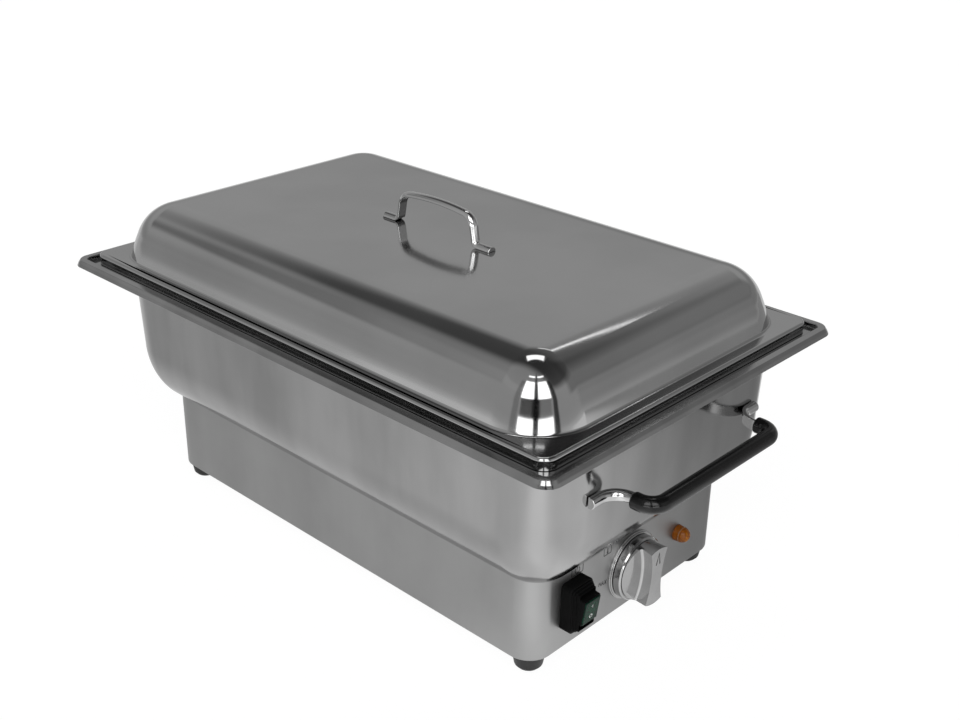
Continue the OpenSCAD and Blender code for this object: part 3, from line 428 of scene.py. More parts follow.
class Slot(Enum):
    """The record's material slots: each is the finish that dresses it, under the slot's name."""

    BASIN = Steel("basin_steel", grey(0.34), 0.14, 0.08, grain=UPRIGHT_GRAIN, smear=0.6)
    HOUSING = Steel("housing_steel", grey(0.35), 0.4, 0.08, grain=UPRIGHT_GRAIN, smear=0.4)
    PLATE = Steel("plate_steel", (0.42, 0.42, 0.43), 0.32, 0.12)
    PAN = Steel("pan_steel", grey(0.5), 0.18, 0.06)
    LID = Steel("lid_steel", grey(0.44), 0.1, 0.04, wave_depth=0.00015)
    HANDLE = Steel("handle_steel", grey(0.55), 0.12, 0.04, wave_depth=0.00003, wave_scale=30.0)
    FASTENER = Steel("fastener_steel", grey(0.5), 0.3, 0.1, 60.0, wave_depth=0.00002)
    ELEMENT = Steel("element_steel", (0.16, 0.15, 0.14), 0.42, 0.2, 60.0, wave_depth=0.00002)
    SPREADER = Steel("spreader_alloy", (0.62, 0.63, 0.65), 0.38, 0.14, 20.0)
    KNOB = Steel("knob_chrome", grey(0.44), 0.12, 0.04, 60.0, wave_depth=0.0)
    BLADE = Steel("blade_brass", (0.72, 0.56, 0.25), 0.3, 0.1, 90.0, wave_depth=0.0)
    CAPILLARY = Steel("capillary_copper", (0.7, 0.38, 0.22), 0.3, 0.1, 70.0, wave_depth=0.0)
    FOOT = Plastic("foot_rubber", grey(0.012), 0.5, 0.00004)
    SLEEVE = Plastic("sleeve_black", grey(0.004), 0.2, 0.000006, dust=0.002, coat=0.3, shine=0.2)
    SWITCH = Plastic("switch_black", grey(0.003), 0.45, dust=0.002, shine=0.05)
    BOOT = Plastic("boot_black", grey(0.003), 0.5, dust=0.002, shine=0.05)
    WINDOW = Lens(
        "window_green",
        (0.006, 0.06, 0.03),
        (0.003, 0.02, 0.012),
        (0.244, -0.078, 0.055),
        0.014,
        0.05,
        0.05,
    )
    LENS = Lens("lens_amber", (0.62, 0.25, 0.01), (0.22, 0.06, 0.002), (0.2318, 0.06, 0.0525))
    RING = Plastic("ring_pale", (0.24, 0.11, 0.05), 0.4, dust=0.03, coat=0.1)
    LAMP = Plastic("lamp_black", grey(0.02), 0.4)
    PHENOLIC = Plastic("phenolic", (0.03, 0.026, 0.024), 0.4, dust=0.03)
    CERAMIC = Plastic("ceramic", (0.78, 0.74, 0.66), 0.5, dust=0.04)
    BLOCK = Plastic("block_white", (0.8, 0.78, 0.7), 0.45, dust=0.04)
    GLAND = Plastic("gland_black", grey(0.012), 0.45)
    LEAD_BROWN = Plastic("lead_brown", (0.16, 0.06, 0.02), 0.5)
    LEAD_BLACK = Plastic("lead_black", grey(0.02), 0.5)
    LEAD_WHITE = Plastic("lead_white", (0.72, 0.71, 0.68), 0.55)
    LEAD_BLUE = Plastic("lead_blue", (0.03, 0.09, 0.35), 0.5)
    LEAD_GREEN = Plastic("lead_green", (0.1, 0.35, 0.06), 0.5)


# Shapes


def soften(points: Sequence[Pair], radii: dict[int, float], step: float) -> list[Pair]:
    """Rounds chosen corners of an open line.

    Args:
        points: the line's corners.
        radii: radius of a corner, by its place in the line.
        step: degrees between the points of an arc.

    Returns:
        The line with its arcs.
    """
    line: list[Pair] = []
    for i, (x, y) in enumerate(points):
        if i not in radii:
            line.append((x, y))
            continue
        before = Vector((points[i - 1][0] - x, points[i - 1][1] - y)).normalized()
        after = Vector((points[i + 1][0] - x, points[i + 1][1] - y)).normalized()
        turn = math.pi - before.angle(after)
        reach = radii[i] * math.tan(turn / 2)
        start = Vector((x, y)) + before * reach
        middle = (before + after).normalized()
        centre = Vector((x, y)) + middle * math.hypot(reach, radii[i])
        arm = start - centre
        way = -1.0 if before.cross(after) > 0 else 1.0
        count = max(2, math.ceil(math.degrees(turn) / step))
        for k in range(count + 1):
            angle = way * turn * k / count
            c, s = math.cos(angle), math.sin(angle)
            line.append((centre[0] + arm[0] * c - arm[1] * s, centre[1] + arm[0] * s + arm[1] * c))
    return line


def arc(centre: Pair, radius: float, start: float, end: float, count: int) -> list[Pair]:
    """Gives the points of an arc of so many stretches, between two angles in degrees."""
    turns = [math.radians(start + (end - start) * k / count) for k in range(count + 1)]
    return [(centre[0] + radius * math.cos(t), centre[1] + radius * math.sin(t)) for t in turns]


def turned_down(out: float, level: float, low: float, fillet: float) -> list[Pair]:
    """Gives a flat rim's edge, bent down to a low level, from a little inside the bend."""
    return soften([(out - RUN_IN, level), (out, level), (out, low)], {1: fillet}, step=10.0)


def mirrored(half: Sequence[Pair]) -> list[Pair]:
    """Carries a line on through its mirror image across the first axis."""
    return [*half, *((a, -b) for a, b in reversed(half))]


def turned_by(points: Sequence[Pair], degrees: float) -> list[Pair]:
    """Turns points of a plane round its origin."""
    c, s = math.cos(math.radians(degrees)), math.sin(math.radians(degrees))
    return [(a * c - b * s, a * s + b * c) for a, b in points]


@dataclass(frozen=True)
class Plan:
    """A rounded plan outline, held by the centres of its corners."""

    axis_x: float
    axis_y: float

    def row(self, radius: float, steps: int) -> list[Pair]:
        """Gives the outline.

        Args:
            radius: corner radius.
            steps: stretches in each corner.

        Returns:
            The outline's points.
        """
        line: list[Pair] = []
        for turn, (sx, sy) in enumerate([(1, 1), (-1, 1), (-1, -1), (1, -1)]):
            centre = (sx * self.axis_x, sy * self.axis_y)
            start = 90.0 * turn
            line += arc(centre, max(radius, LEAST_CORNER), start, start + 90.0, steps)
        return line


@dataclass(frozen=True)
class Station:
    """One place on a pressed section: plan, distance out from its corner centres, and level."""

    plan: Plan
    out: float
    level: float

    def spot(self) -> Vector:
        """Gives the distance from the middle along X, and the level."""
        return Vector((self.plan.axis_x + self.out, self.level))


def stations(plan: Plan, line: Sequence[Pair]) -> list[Station]:
    """Turns pairs of distance and level into stations of one plan."""
    return [Station(plan, out, level) for out, level in line]


def thickened(line: list[Station], thickness: float) -> list[Station]:
    """Gives a sheet's section: the line, and its other face back to the middle.

    Args:
        line: one face, from its middle to its edge.
        thickness: the sheet's thickness, to the right of the line.

    Returns:
        Both faces.
    """
    other: list[Station] = []
    for i, place in enumerate(line):
        normals = []
        for near, sign in ((i - 1, -1), (i + 1, 1)):
            if 0 <= near < len(line):
                way = line[near].spot() - place.spot()
                if way.length > TINY:
                    way = way.normalized() * sign
                    normals.append(Vector((way[1], -way[0])))
        total = sum(normals, Vector((0.0, 0.0)))
        total = total * (len(normals) / max(total.length_squared, MITRE))
        shift = (total[0] * thickness, total[1] * thickness)
        other.append(Station(place.plan, place.out + shift[0], place.level + shift[1]))
    return line + other[::-1]


def upright(a: float, b: float, level: float) -> Vector:
    """Puts a plan point at a height."""
    return Vector((a, b, level))


def level_first(a: float, b: float, level: float) -> Vector:
    """Puts a level along X and the cross coordinates along Y and Z."""
    return Vector((level, a, b))


class Draft:
    """Gathers the points and faces of one piece, in millimetres."""

    def __init__(self) -> None:
        """Starts with nothing."""
        self.points: list[Vector] = []
        self.faces: list[list[int]] = []

    def ring(self, points: Sequence[Vector]) -> list[int]:
        """Adds a row of points and gives their numbers."""
        self.points.extend(points)
        return list(range(len(self.points) - len(points), len(self.points)))

    def bridge(self, low: list[int], high: list[int]) -> None:
        """Joins two closed rows with four-sided faces."""
        for i in range(len(low)):
            j = (i + 1) % len(low)
            self.faces.append([low[i], low[j], high[j], high[i]])

    def skin(self, rows: Sequence[Sequence[Vector]], closed: bool = False) -> "Draft":
        """Joins rows in order.

        Args:
            rows: rows with as many points each.
            closed: whether the last row joins the first, or both ends get a cap.

        Returns:
            This draft.
        """
        rings = [self.ring(row) for row in rows]
        for low, high in zip(rings, rings[1:]):
            self.bridge(low, high)
        if closed:
            self.bridge(rings[-1], rings[0])
        else:
            self.faces += [rings[0][::-1], rings[-1]]
        return self

    def lathe(self, profile: Sequence[Pair], place: Place, count: int) -> "Draft":
        """Turns a profile round an axis.

        Args:
            profile: pairs of level and radius, closed on itself unless it ends on the axis.
            place: puts two cross coordinates and a level in the piece.
            count: stretches round the axis.

        Returns:
            This draft.
        """
        turns = [2 * math.pi * k / count for k in range(count)]
        ways = [(math.cos(turn), math.sin(turn)) for turn in turns]
        radii = [max(radius, AXIS_RADIUS) for _, radius in profile]
        rows = [
            [place(radius * c, radius * s, level) for c, s in ways]
            for (level, _), radius in zip(profile, radii)
        ]
        return self.skin(rows, profile[0][1] > ON_AXIS and profile[-1][1] > ON_AXIS)

    def press(
        self, line: Sequence[Station], steps: int, place: Place = upright, closed: bool = False
    ) -> "Draft":
        """Skins a pressed section, with so many stretches in each corner of its plans."""
        rows = [[place(a, b, s.level) for a, b in s.plan.row(s.out, steps)] for s in line]
        return self.skin(rows, closed)

    def sweep(
        self, line: Sequence[Pair], section: Sequence[Pair], place: Place, end: float
    ) -> "Draft":
        """Carries a section along a flat line, with softly rounded ends.

        Args:
            line: the path's points.
            section: pairs of distance to the left of travel and across the path's plane.
            place: puts two path coordinates and the distance across in the piece.
            end: rounding of the ends.

        Returns:
            This draft.
        """
        sides = [a for a, _ in section]
        middle = (min(sides) + max(sides)) / 2
        reach = max(max(abs(a - middle), abs(b)) for a, b in section)
        points = [Vector(p) for p in line]
        ways = [(b - a).normalized() for a, b in zip(points, points[1:])]

        def row(at: Vector, way: Vector, size: float) -> list[Vector]:
            """Gives one row of the section, scaled about its middle."""
            left = Vector((-way[1], way[0]))
            spots = [(at + left * (middle + (a - middle) * size), b * size) for a, b in section]
            return [place(spot[0], spot[1], across) for spot, across in spots]

        def tip(at: Vector, way: Vector, inward: float) -> list[list[Vector]]:
            """Gives the rows of a rounded end, the smallest last."""
            turns = [math.radians(turn) for turn in TIP_TURNS]
            return [
                row(
                    at + way * inward * end * (1 - math.sin(turn)),
                    way,
                    1 - end / reach * (1 - math.cos(turn)),
                )
                for turn in turns
            ]

        bends = zip(points[1:-1], ways, ways[1:])
        between = [row(at, (first + second).normalized(), 1.0) for at, first, second in bends]
        start = tip(points[0], ways[0], 1.0)[::-1]
        return self.skin(start + between + tip(points[-1], ways[-1], -1.0))

    def mesh(self, name: str, sharp: float = SHARP) -> bpy.types.Mesh:
        """Makes the mesh in metres, smooth but for its sharp edges.

        Args:
            name: the mesh's name.
            sharp: degrees from which an edge stays sharp.

        Returns:
            The mesh.
        """
        made = bpy.data.meshes.new(name)
        made.from_pydata([p * MM for p in self.points], [], self.faces)
        work = bmesh.new()
        work.from_mesh(made)
        bmesh.ops.remove_doubles(work, verts=work.verts, dist=MERGE)
        bmesh.ops.recalc_face_normals(work, faces=work.faces)
        work.to_mesh(made)
        work.free()
        smooth(made, sharp)
        return made

    def add(
        self,
        name: str,
        body: str,
        slot: Slot,
        *nodes: str,
        sharp: float = SHARP,
        finish: Optional[Finish] = None,
    ) -> None:
        """Makes the mesh and puts it in the scene as a piece, as add_piece does."""
        add_piece(name, self.mesh(name, sharp), body, slot, *nodes, finish=finish)


def smooth(mesh: bpy.types.Mesh, sharp: float) -> None:
    """Shades a mesh smooth with sharp edges from an angle in degrees."""
    mesh.polygons.foreach_set("use_smooth", [True] * len(mesh.polygons))
    mesh.set_sharp_from_angle(angle=math.radians(sharp))
    mesh.update()


def place_object(name: str, data: bpy.types.ID) -> bpy.types.Object:
    """Puts an object in the scene.

    Args:
        name: its name.
        data: its mesh, lamp or camera.

    Returns:
        The object.
    """
    made = bpy.data.objects.new(name, data)
    bpy.context.scene.collection.objects.link(made)
    return made


def add_piece(
    name: str,
    mesh: bpy.types.Mesh,
    body: str,
    slot: Slot,
    *nodes: str,
    finish: Optional[Finish] = None,
) -> None:
    """Puts a piece in the scene, dressed, on its body and in place of its CAD nodes.

    Args:
        name: the piece's name.
        mesh: its mesh.
        body: the body it moves with.
        slot: its material slot.
        *nodes: CAD nodes it stands for.
        finish: its own finish, where it isn't the slot's.
    """
    piece = place_object(name, mesh)
    mesh.materials.append((finish or slot.value).material())
    weigh = piece.modifiers.new("even_shading", "WEIGHTED_NORMAL")
    weigh.keep_sharp = True
    weigh.weight = 60
    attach(piece, body)
    if nodes:
        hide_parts(*nodes)
    log.info("made %s with %d faces on %s", name, len(mesh.polygons), body)


def d_section(width: float, thick: float, edge: float = 0.5) -> list[Pair]:
    """Gives a D section with its flat face on zero and its bulge along the first axis.

    Args:
        width: width of the flat face.
        thick: thickness at the middle.
        edge: rounding of the flat face's edges.

    Returns:
        The section's points.
    """
    half = width / 2
    sag = min(thick - 0.6, half)
    ball = (width * width / 4 + sag * sag) / (2 * sag)
    spread = math.degrees(math.asin(min(1.0, half / ball)))
    bow = arc((thick - ball, 0.0), ball, -spread, spread, 20)
    loop = [(0.0, 0.0), (0.0, -half), *bow, (0.0, half), (0.0, 0.0)]
    return soften(loop, {1: edge, len(loop) - 2: edge}, step=22.0)[:-1]


# Sheet steel vessels


@dataclass
class Lid:
    """Lift-off lid: domed shell with skirt, and its strap handle."""

    dome: Plan = Plan(206.0, 106.0)
    edge: Plan = Plan(253.0, 150.5)
    top: float = 272.3
    flange: float = 225.7
    shoulder_out: float = 30.75
    foot_out: float = 47.71
    shoulder: float = 40.0
    foot_fillet: float = 3.0
    skirt_out: float = 12.0
    skirt_low: float = 216.7
    skirt_fillet: float = 2.5
    sheet: float = 0.8
    swell: float = 0.4
    swell_low: float = 8.0
    strap_x: float = 4.0
    strap_foot: float = 62.0
    strap_high: float = 26.5
    strap_width: float = 9.0
    strap_thick: float = 4.0
    strap_end: float = 0.8
    bridge_half: float = 32.0
    bridge_turn: float = 8.0
    leg_turn: float = 80.0
    foot_bend: float = 6.0
    top_bend: float = 10.0
    seat: float = 0.1

    def shell(self) -> Draft:
        """Draws the pressed shell, with a slight swell in the dome's wall."""
        corners = [(0.5, self.top), (self.shoulder_out, self.top)]
        corners += [(self.foot_out, self.flange), (self.foot_out + RUN_ON, self.flange)]
        dome = soften(corners, {1: self.shoulder, 2: self.foot_fillet}, step=3.0)
        low = max(i for i, (_, level) in enumerate(dome) if level > self.flange + self.swell_low)
        high, foot = Vector(dome[low]), Vector(dome[low + 1])
        out = Vector((high[1] - foot[1], foot[0] - high[0])).normalized() * self.swell
        shares = [k / 8 for k in range(1, 8)]
        wall = [high.lerp(foot, share) + out * 4 * share * (1 - share) for share in shares]
        dome[low + 1 : low + 1] = [tuple(spot) for spot in wall]
        skirt = turned_down(self.skirt_out, self.flange, self.skirt_low, self.skirt_fillet)
        face = stations(self.dome, dome) + stations(self.edge, skirt)
        return Draft().press(thickened(face, self.sheet), steps=28)

    def strap_line(self) -> list[Pair]:
        """Gives the strap's under line, from one foot to the other."""
        turn, steep = math.radians(self.bridge_turn), math.radians(self.leg_turn)
        ball = self.bridge_half / math.sin(turn)
        end = Vector((self.bridge_half, self.strap_high - ball * (1 - math.cos(turn))))
        lean = Vector((math.sin(steep), math.cos(steep)))
        top = end - self.top_bend * Vector((math.sin(turn), math.cos(turn)))
        leg_top = top + self.top_bend * lean
        run = (leg_top[1] - self.foot_bend * (1 - math.cos(steep))) / math.sin(steep)
        leg_low = leg_top + run * Vector((math.cos(steep), -math.sin(steep)))
        foot = leg_low + self.foot_bend * lean
        first, last = 90.0 - self.bridge_turn, 90.0 - self.leg_turn
        half = arc((0.0, self.strap_high - ball), ball, 90.0, first, 10)
        half += arc(tuple(top), self.top_bend, first, last, 16)[1:]
        half += arc(tuple(foot), self.foot_bend, last + 180.0, 270.0, 16)
        half.append((self.strap_foot, 0.0))
        return [(-x, z) for x, z in reversed(half[1:])] + half

    def on_dome(self, a: float, b: float, level: float) -> Vector:
        """Stands the strap on the dome."""
        return Vector((self.strap_x + a, -level, self.top + self.seat + b))

    def make(self) -> None:
        """Adds the shell and the handle."""
        self.shell().add("lid_pressing", "lid", Slot.LID, "lid_shell")
        section = d_section(self.strap_width, self.strap_thick)
        strap = Draft().sweep(self.strap_line(), section, self.on_dome, self.strap_end)
        strap.add("lid_strap_handle", "lid", Slot.HANDLE, "lid_handle", sharp=BAR_SHARP)


@dataclass
class Basin:
    """Drawn water basin with its ledge, bead and turned rim."""

    bowl: Plan = Plan(208.0, 101.0)
    rim: Plan = Plan(266.25, 163.75)
    ledge: float = 216.2
    knee_level: float = 128.55
    knee_out: float = 0.25
    knee: float = 45.95
    knee_stretch: float = 1.3
    wall_out: float = 49.0
    sheet: float = 1.0
    bead_in: float = 4.6
    bead_out: float = 10.8
    turn_out: float = 12.7
    turn_level: float = 217.4
    bead_top: float = 220.0
    lip_low: float = 214.6
    rim_out: float = 14.0

    def face(self, out: float, knee: float) -> list[Pair]:
        """Gives the bowl's wall and knee from the floor's middle to the ledge.

        Args:
            out: distance of the wall at the ledge.
            knee: radius of the knee.

        Returns:
            The line.
        """
        low = self.knee_level - knee
        bend = arc((self.knee_out, self.knee_level), knee, -90.0, 0.0, 30)
        tall = [(across, low + (level - low) * self.knee_stretch) for across, level in bend]
        return [(0.1, low)] + tall + [(out, self.ledge)]

    def rim_face(self) -> list[Pair]:
        """Gives the ledge's edge, the bead and the lip, over the top and back below."""
        under = self.bead_top - self.sheet * 1.2
        shelf = self.ledge - self.sheet
        corners = [
            (-RUN_ON, self.ledge),
            (self.bead_in, self.ledge),
            (self.bead_in + 0.2, self.bead_top),
            (self.bead_out, self.bead_top),
            (self.turn_out, self.turn_level),
            (self.rim_out, self.lip_low),
            (self.rim_out - self.sheet, self.lip_low),
            (self.bead_out - 0.3, under),
            (self.bead_out - 0.7, under),
            (self.bead_in + self.sheet, shelf),
            (0.4, shelf),
        ]
        return soften(corners, {1: 0.6, 2: 0.8, 3: 0.8, 4: 4.0, 5: 0.25}, step=10.0)[1:]

    def make(self) -> None:
        """Adds the basin."""
        inner = self.face(self.wall_out - self.sheet, self.knee - self.sheet)
        outer = self.face(self.wall_out, self.knee)
        inside = inner + [(self.wall_out + RUN_ON, self.ledge)]
        outside = outer[:-1] + [(self.wall_out, self.ledge - self.sheet)]
        line = stations(self.bowl, soften(inside, {len(inner) - 1: 1.6}, step=15.0))
        line += stations(self.rim, self.rim_face())
        line += stations(self.bowl, outside[::-1])
        Draft().press(line, 28).add("basin_pressing", "base", Slot.BASIN, "water_basin")


@dataclass
class Pan:
    """Full-size food pan with a flat rim and turned edge."""

    well: Plan = Plan(208.0, 101.0)
    edge: Plan = Plan(252.2, 149.7)
    top: float = 224.7
    lip: float = 216.4
    floor: float = 159.7
    well_out: float = 42.0
    draft_in: float = 2.8
    fillet: float = 24.0
    rim_fillet: float = 2.0
    edge_out: float = 10.8
    edge_fillet: float = 2.2
    sheet: float = 0.8

    def make(self) -> None:
        """Adds the pan."""
        out = self.well_out - self.sheet
        corners = [(0.5, self.floor), (out - self.draft_in, self.floor)]
        corners += [(out, self.top), (out + RUN_ON, self.top)]
        wall = soften(corners, {1: self.fillet - self.sheet, 2: self.rim_fillet}, step=5.0)
        edge = turned_down(self.edge_out, self.top, self.lip, self.edge_fillet)
        face = stations(self.well, wall) + stations(self.edge, edge)
        pan = Draft().press(thickened(face, self.sheet), steps=24)
        pan.add("pan_pressing", "pan", Slot.PAN, "food_pan")


@dataclass
class Housing:
    """Lower housing: a sheet wall, cut to the basin above and turned in at its foot."""

    wall: Plan = Plan(203.8, 100.0)
    flange: Plan = Plan(189.8, 86.0)
    basin: Basin = field(default_factory=Basin)
    wall_out: float = 21.0
    flange_out: float = 13.0
    sheet: float = 1.0
    low: float = 14.8
    gap: float = 0.2
    bottom_bend: float = 1.6
    peak: float = 1000.0

    def cut_to_basin(self, x: float, y: float, level: float) -> Vector:
        """Puts a point in the wall, and the peak's points just under the basin.

        Args:
            x: place along X.
            y: place along Y.
            level: height, or the peak.

        Returns:
            The point.
        """
        if level != self.peak:
            return Vector((x, y, level))
        bowl = self.basin.bowl
        out = math.hypot(max(abs(x) - bowl.axis_x, 0.0), max(abs(y) - bowl.axis_y, 0.0))
        across = max(out - self.basin.knee_out, 0.0)
        radius = self.basin.knee + self.gap
        rise = radius - math.sqrt(radius * radius - across * across)
        return Vector((x, y, self.basin.knee_level - radius + rise * self.basin.knee_stretch))

    def make(self) -> None:
        """Adds the housing."""
        inner_out, inner_low = self.wall_out - self.sheet, self.low + self.sheet
        outer = [(self.wall_out, self.peak), (self.wall_out, self.low), (self.flange_out, self.low)]
        inner = [(self.flange_out, inner_low), (inner_out, inner_low), (inner_out, self.peak)]
        line = stations(self.wall, soften(outer, {1: self.bottom_bend}, step=12.0))
        line += stations(self.flange, [(1.0, self.low), (1.0, inner_low)])
        line += stations(self.wall, soften(inner, {1: self.bottom_bend - self.sheet}, step=30.0))
        housing = Draft().press(line, 24, self.cut_to_basin, True)
        housing.add("housing_pressing", "base", Slot.HOUSING, "lower_housing")


@dataclass
class Feet:
    """Four rubber feet with a recess for the screw, held by pairs of level and radius."""

    x: float = 207.4
    y: float = 103.6
    top: Pair = (14.6, 13.5)
    waist: Pair = (3.0, 11.25)
    sole: Pair = (0.0, 8.5)
    recess: Pair = (5.0, 5.5)
    bore: float = 2.7

    def make(self) -> None:
        """Adds the feet."""
        depth, wide = self.recess
        foot = [(self.top[0], self.bore), self.top, self.waist, self.sole]
        foot += [(self.sole[0], wide), self.recess, (depth, self.bore)]
        line = soften(foot, {1: 0.8, 2: 1.5, 3: 1.0, 4: 0.4}, step=15.0)
        draft = Draft()
        for sx in (-1, 1):
            for sy in (-1, 1):
                x, y = sx * self.x, sy * self.y
                draft.lathe(line, lambda a, b, level: Vector((x + a, y + b, level)), count=64)
        draft.add("moulded_feet", "base", Slot.FOOT, "rubber_feet")


@dataclass
class CarryingHandle:
    """One end's handle: bent D bar welded to the basin, and its grip sleeve."""

    end: str
    side: float
    wall_x: float = 255.74
    level: float = 166.0
    foot_y: float = 104.0
    leg_y: float = 75.0
    reach: float = 34.5
    foot_bend: float = 19.0
    grip_bend: float = 10.0
    bar_width: float = 9.0
    bar_thick: float = 6.0
    bar_end: float = 0.8
    sleeve_radius: float = 6.5
    sleeve_start: float = 20.0
    sleeve_end: float = 1.3

    def place(self, a: float, b: float, level: float) -> Vector:
        """Puts a plan point of the handle at its end of the basin."""
        return Vector((self.side * (self.wall_x + a), self.side * b, self.level + level))

    def make(self) -> None:
        """Adds the bar and the sleeve."""
        leg, bend = self.leg_y, self.grip_bend
        corners = mirrored([(0.0, self.foot_y), (0.0, leg), (self.reach, leg)])
        line = soften(corners, {1: self.foot_bend, 2: bend, 3: bend, 4: self.foot_bend}, step=5.0)
        section = d_section(self.bar_width, self.bar_thick)
        bar = Draft().sweep(line, section, self.place, self.bar_end)
        name = "handle_bar_" + self.end
        bar.add("bar_" + self.end, "base", Slot.HANDLE, name, sharp=BAR_SHARP)
        corners = mirrored([(self.sleeve_start, leg), (self.reach, leg)])
        grip = soften(corners, {1: bend, 2: bend}, step=5.0)
        circle = arc((self.bar_thick / 2, 0.0), self.sleeve_radius, 0.0, 360.0, 40)[:-1]
        sleeve = Draft().sweep(grip, circle, self.place, self.sleeve_end)
        name = "grip_sleeve_" + self.end
        sleeve.add("sleeve_" + self.end, "base", Slot.SLEEVE, name, sharp=BAR_SHARP)


# Controls


@dataclass
class Panel:
    """The control end's plane, which the controls are measured from."""

    x: float = 224.8

    def at(self, y: float, z: float) -> Place:
        """Gives the placer of a control at a place across and a height, with its level outwards."""
        return lambda a, b, level: Vector((self.x + level, y + a, z + b))


@dataclass
class Knob:
    """Thermostat knob with a waisted wing, and its bezel."""

    panel: Panel = field(default_factory=Panel)
    y: float = -3.0
    z: float = 52.0
    turn: float = 4.0
    radius: float = 27.0
    back: float = 3.6
    skirt: float = 9.2
    rim: float = 10.8
    groove: float = 9.8
    bore: float = 23.0
    rim_radius: float = 25.7
    face_radius: float = 25.0
    wing_root: float = 8.8
    wing: float = 25.5
    waist: float = 9.0
    lean: float = 12.0
    scoop: float = 15.0
    scoop_radius: float = 75.0
    scoop_fillet: float = 2.5
    edge: float = 0.45
    edge_angle: float = 28.0
    bezel_bore: float = 22.0
    bezel_radius: float = 29.2
    bezel_step: float = 1.92
    bezel_rim: float = 28.47
    bezel_high: float = 3.2
    stretches: int = 192

    @staticmethod
    def turned(name: str, profile: Sequence[Pair], count: int, seat: Matrix) -> bpy.types.Object:
        """Makes a working solid, turned about X from pairs of level and radius, then seated."""
        solid = Draft().lathe(profile, lambda *spot: seat @ level_first(*spot), count)
        return place_object(name, solid.mesh(name))

    def cutter(self, side: float) -> bpy.types.Object:
        """Makes the scoop on one side of the wing.

        Args:
            side: -1 or 1.

        Returns:
            The cutter.
        """
        seat = (
            Matrix.Diagonal((1.0, -side, 1.0, 1.0))
            @ Matrix.Translation((self.scoop, -self.waist / 2, 0.0))
            @ Matrix.Rotation(math.radians(-self.lean), 4, "Z")
            @ Matrix.Translation((0.0, -self.scoop_radius, 0.0))
        )
        fillet, radius = self.scoop_fillet, self.scoop_radius
        profile = [(0.0, 0.0)] + arc((fillet, radius - fillet), fillet, 180.0, 90.0, 10)
        profile += [(self.scoop + fillet, radius), (self.scoop + fillet, 0.0)]
        return self.turned("cutter", profile, count=360, seat=seat)

    @staticmethod
    def settled(solid: bpy.types.Object) -> bpy.types.Mesh:
        """Gives a working solid's mesh with its modifiers applied."""
        final = solid.evaluated_get(bpy.context.evaluated_depsgraph_get())
        return bpy.data.meshes.new_from_object(final)

    def grip(self) -> bpy.types.Mesh:
        """Cuts the wing from a round and rounds its edges."""
        low, high, radius = self.wing_root, self.wing, self.face_radius
        top = [(low, 0.0), (low, radius), (high, radius), (high, 0.0)]
        wing = self.turned("wing", top, self.stretches, Matrix.Identity(4))
        for side in (-1.0, 1.0):
            cut = wing.modifiers.new("scoop", "BOOLEAN")
            cut.operation = "DIFFERENCE"
            cut.object = self.cutter(side)
            cut.solver = "EXACT"
            made = self.settled(wing)
            bpy.data.objects.remove(cut.object)
            wing.modifiers.clear()
            wing.data = made
        bevel = wing.modifiers.new("edges", "BEVEL")
        bevel.width = self.edge * MM
        bevel.segments = 3
        bevel.limit_method = "ANGLE"
        bevel.angle_limit = math.radians(self.edge_angle)
        rounded = self.settled(wing)
        bpy.data.objects.remove(wing)
        return rounded

    def base(self) -> bpy.types.Mesh:
        """Turns the knob's skirt and its grooved face."""
        profile = [(self.back, self.bore), (self.back, self.radius), (self.skirt, self.radius)]
        profile += [(self.rim, self.rim_radius), (self.groove, self.rim_radius - 0.1)]
        profile += [(self.groove, self.bore)]
        line = soften(profile, {1: 0.4, 2: 0.5, 3: 0.25}, step=15.0)
        return Draft().lathe(line, level_first, self.stretches).mesh("skirt")

    def make(self) -> None:
        """Adds the knob and the bezel."""
        joined = bmesh.new()
        joined.from_mesh(self.grip())
        joined.from_mesh(self.base())
        seat = Matrix.Translation(Vector((self.panel.x, self.y, self.z)) * MM)
        seat = seat @ Matrix.Rotation(math.radians(-self.turn), 4, "X")
        bmesh.ops.transform(joined, matrix=seat, verts=joined.verts)
        mesh = bpy.data.meshes.new("knob_casting")
        joined.to_mesh(mesh)
        joined.free()
        smooth(mesh, KNOB_SHARP)
        add_piece("knob_casting", mesh, "knob", Slot.KNOB, "thermostat_knob")
        ring = [(0.1, self.bezel_bore), (0.1, self.bezel_radius)]
        ring += [(self.bezel_step, self.bezel_radius), (self.bezel_step, self.bezel_rim)]
        ring += [(self.bezel_high, self.bezel_rim), (self.bezel_high, self.bezel_bore)]
        line = soften(ring, {2: 0.4, 4: 0.5}, step=15.0)
        bezel = Draft().lathe(line, self.panel.at(self.y, self.z), self.stretches)
        bezel.add("bezel_ring", "base", Slot.KNOB, "knob_bezel")


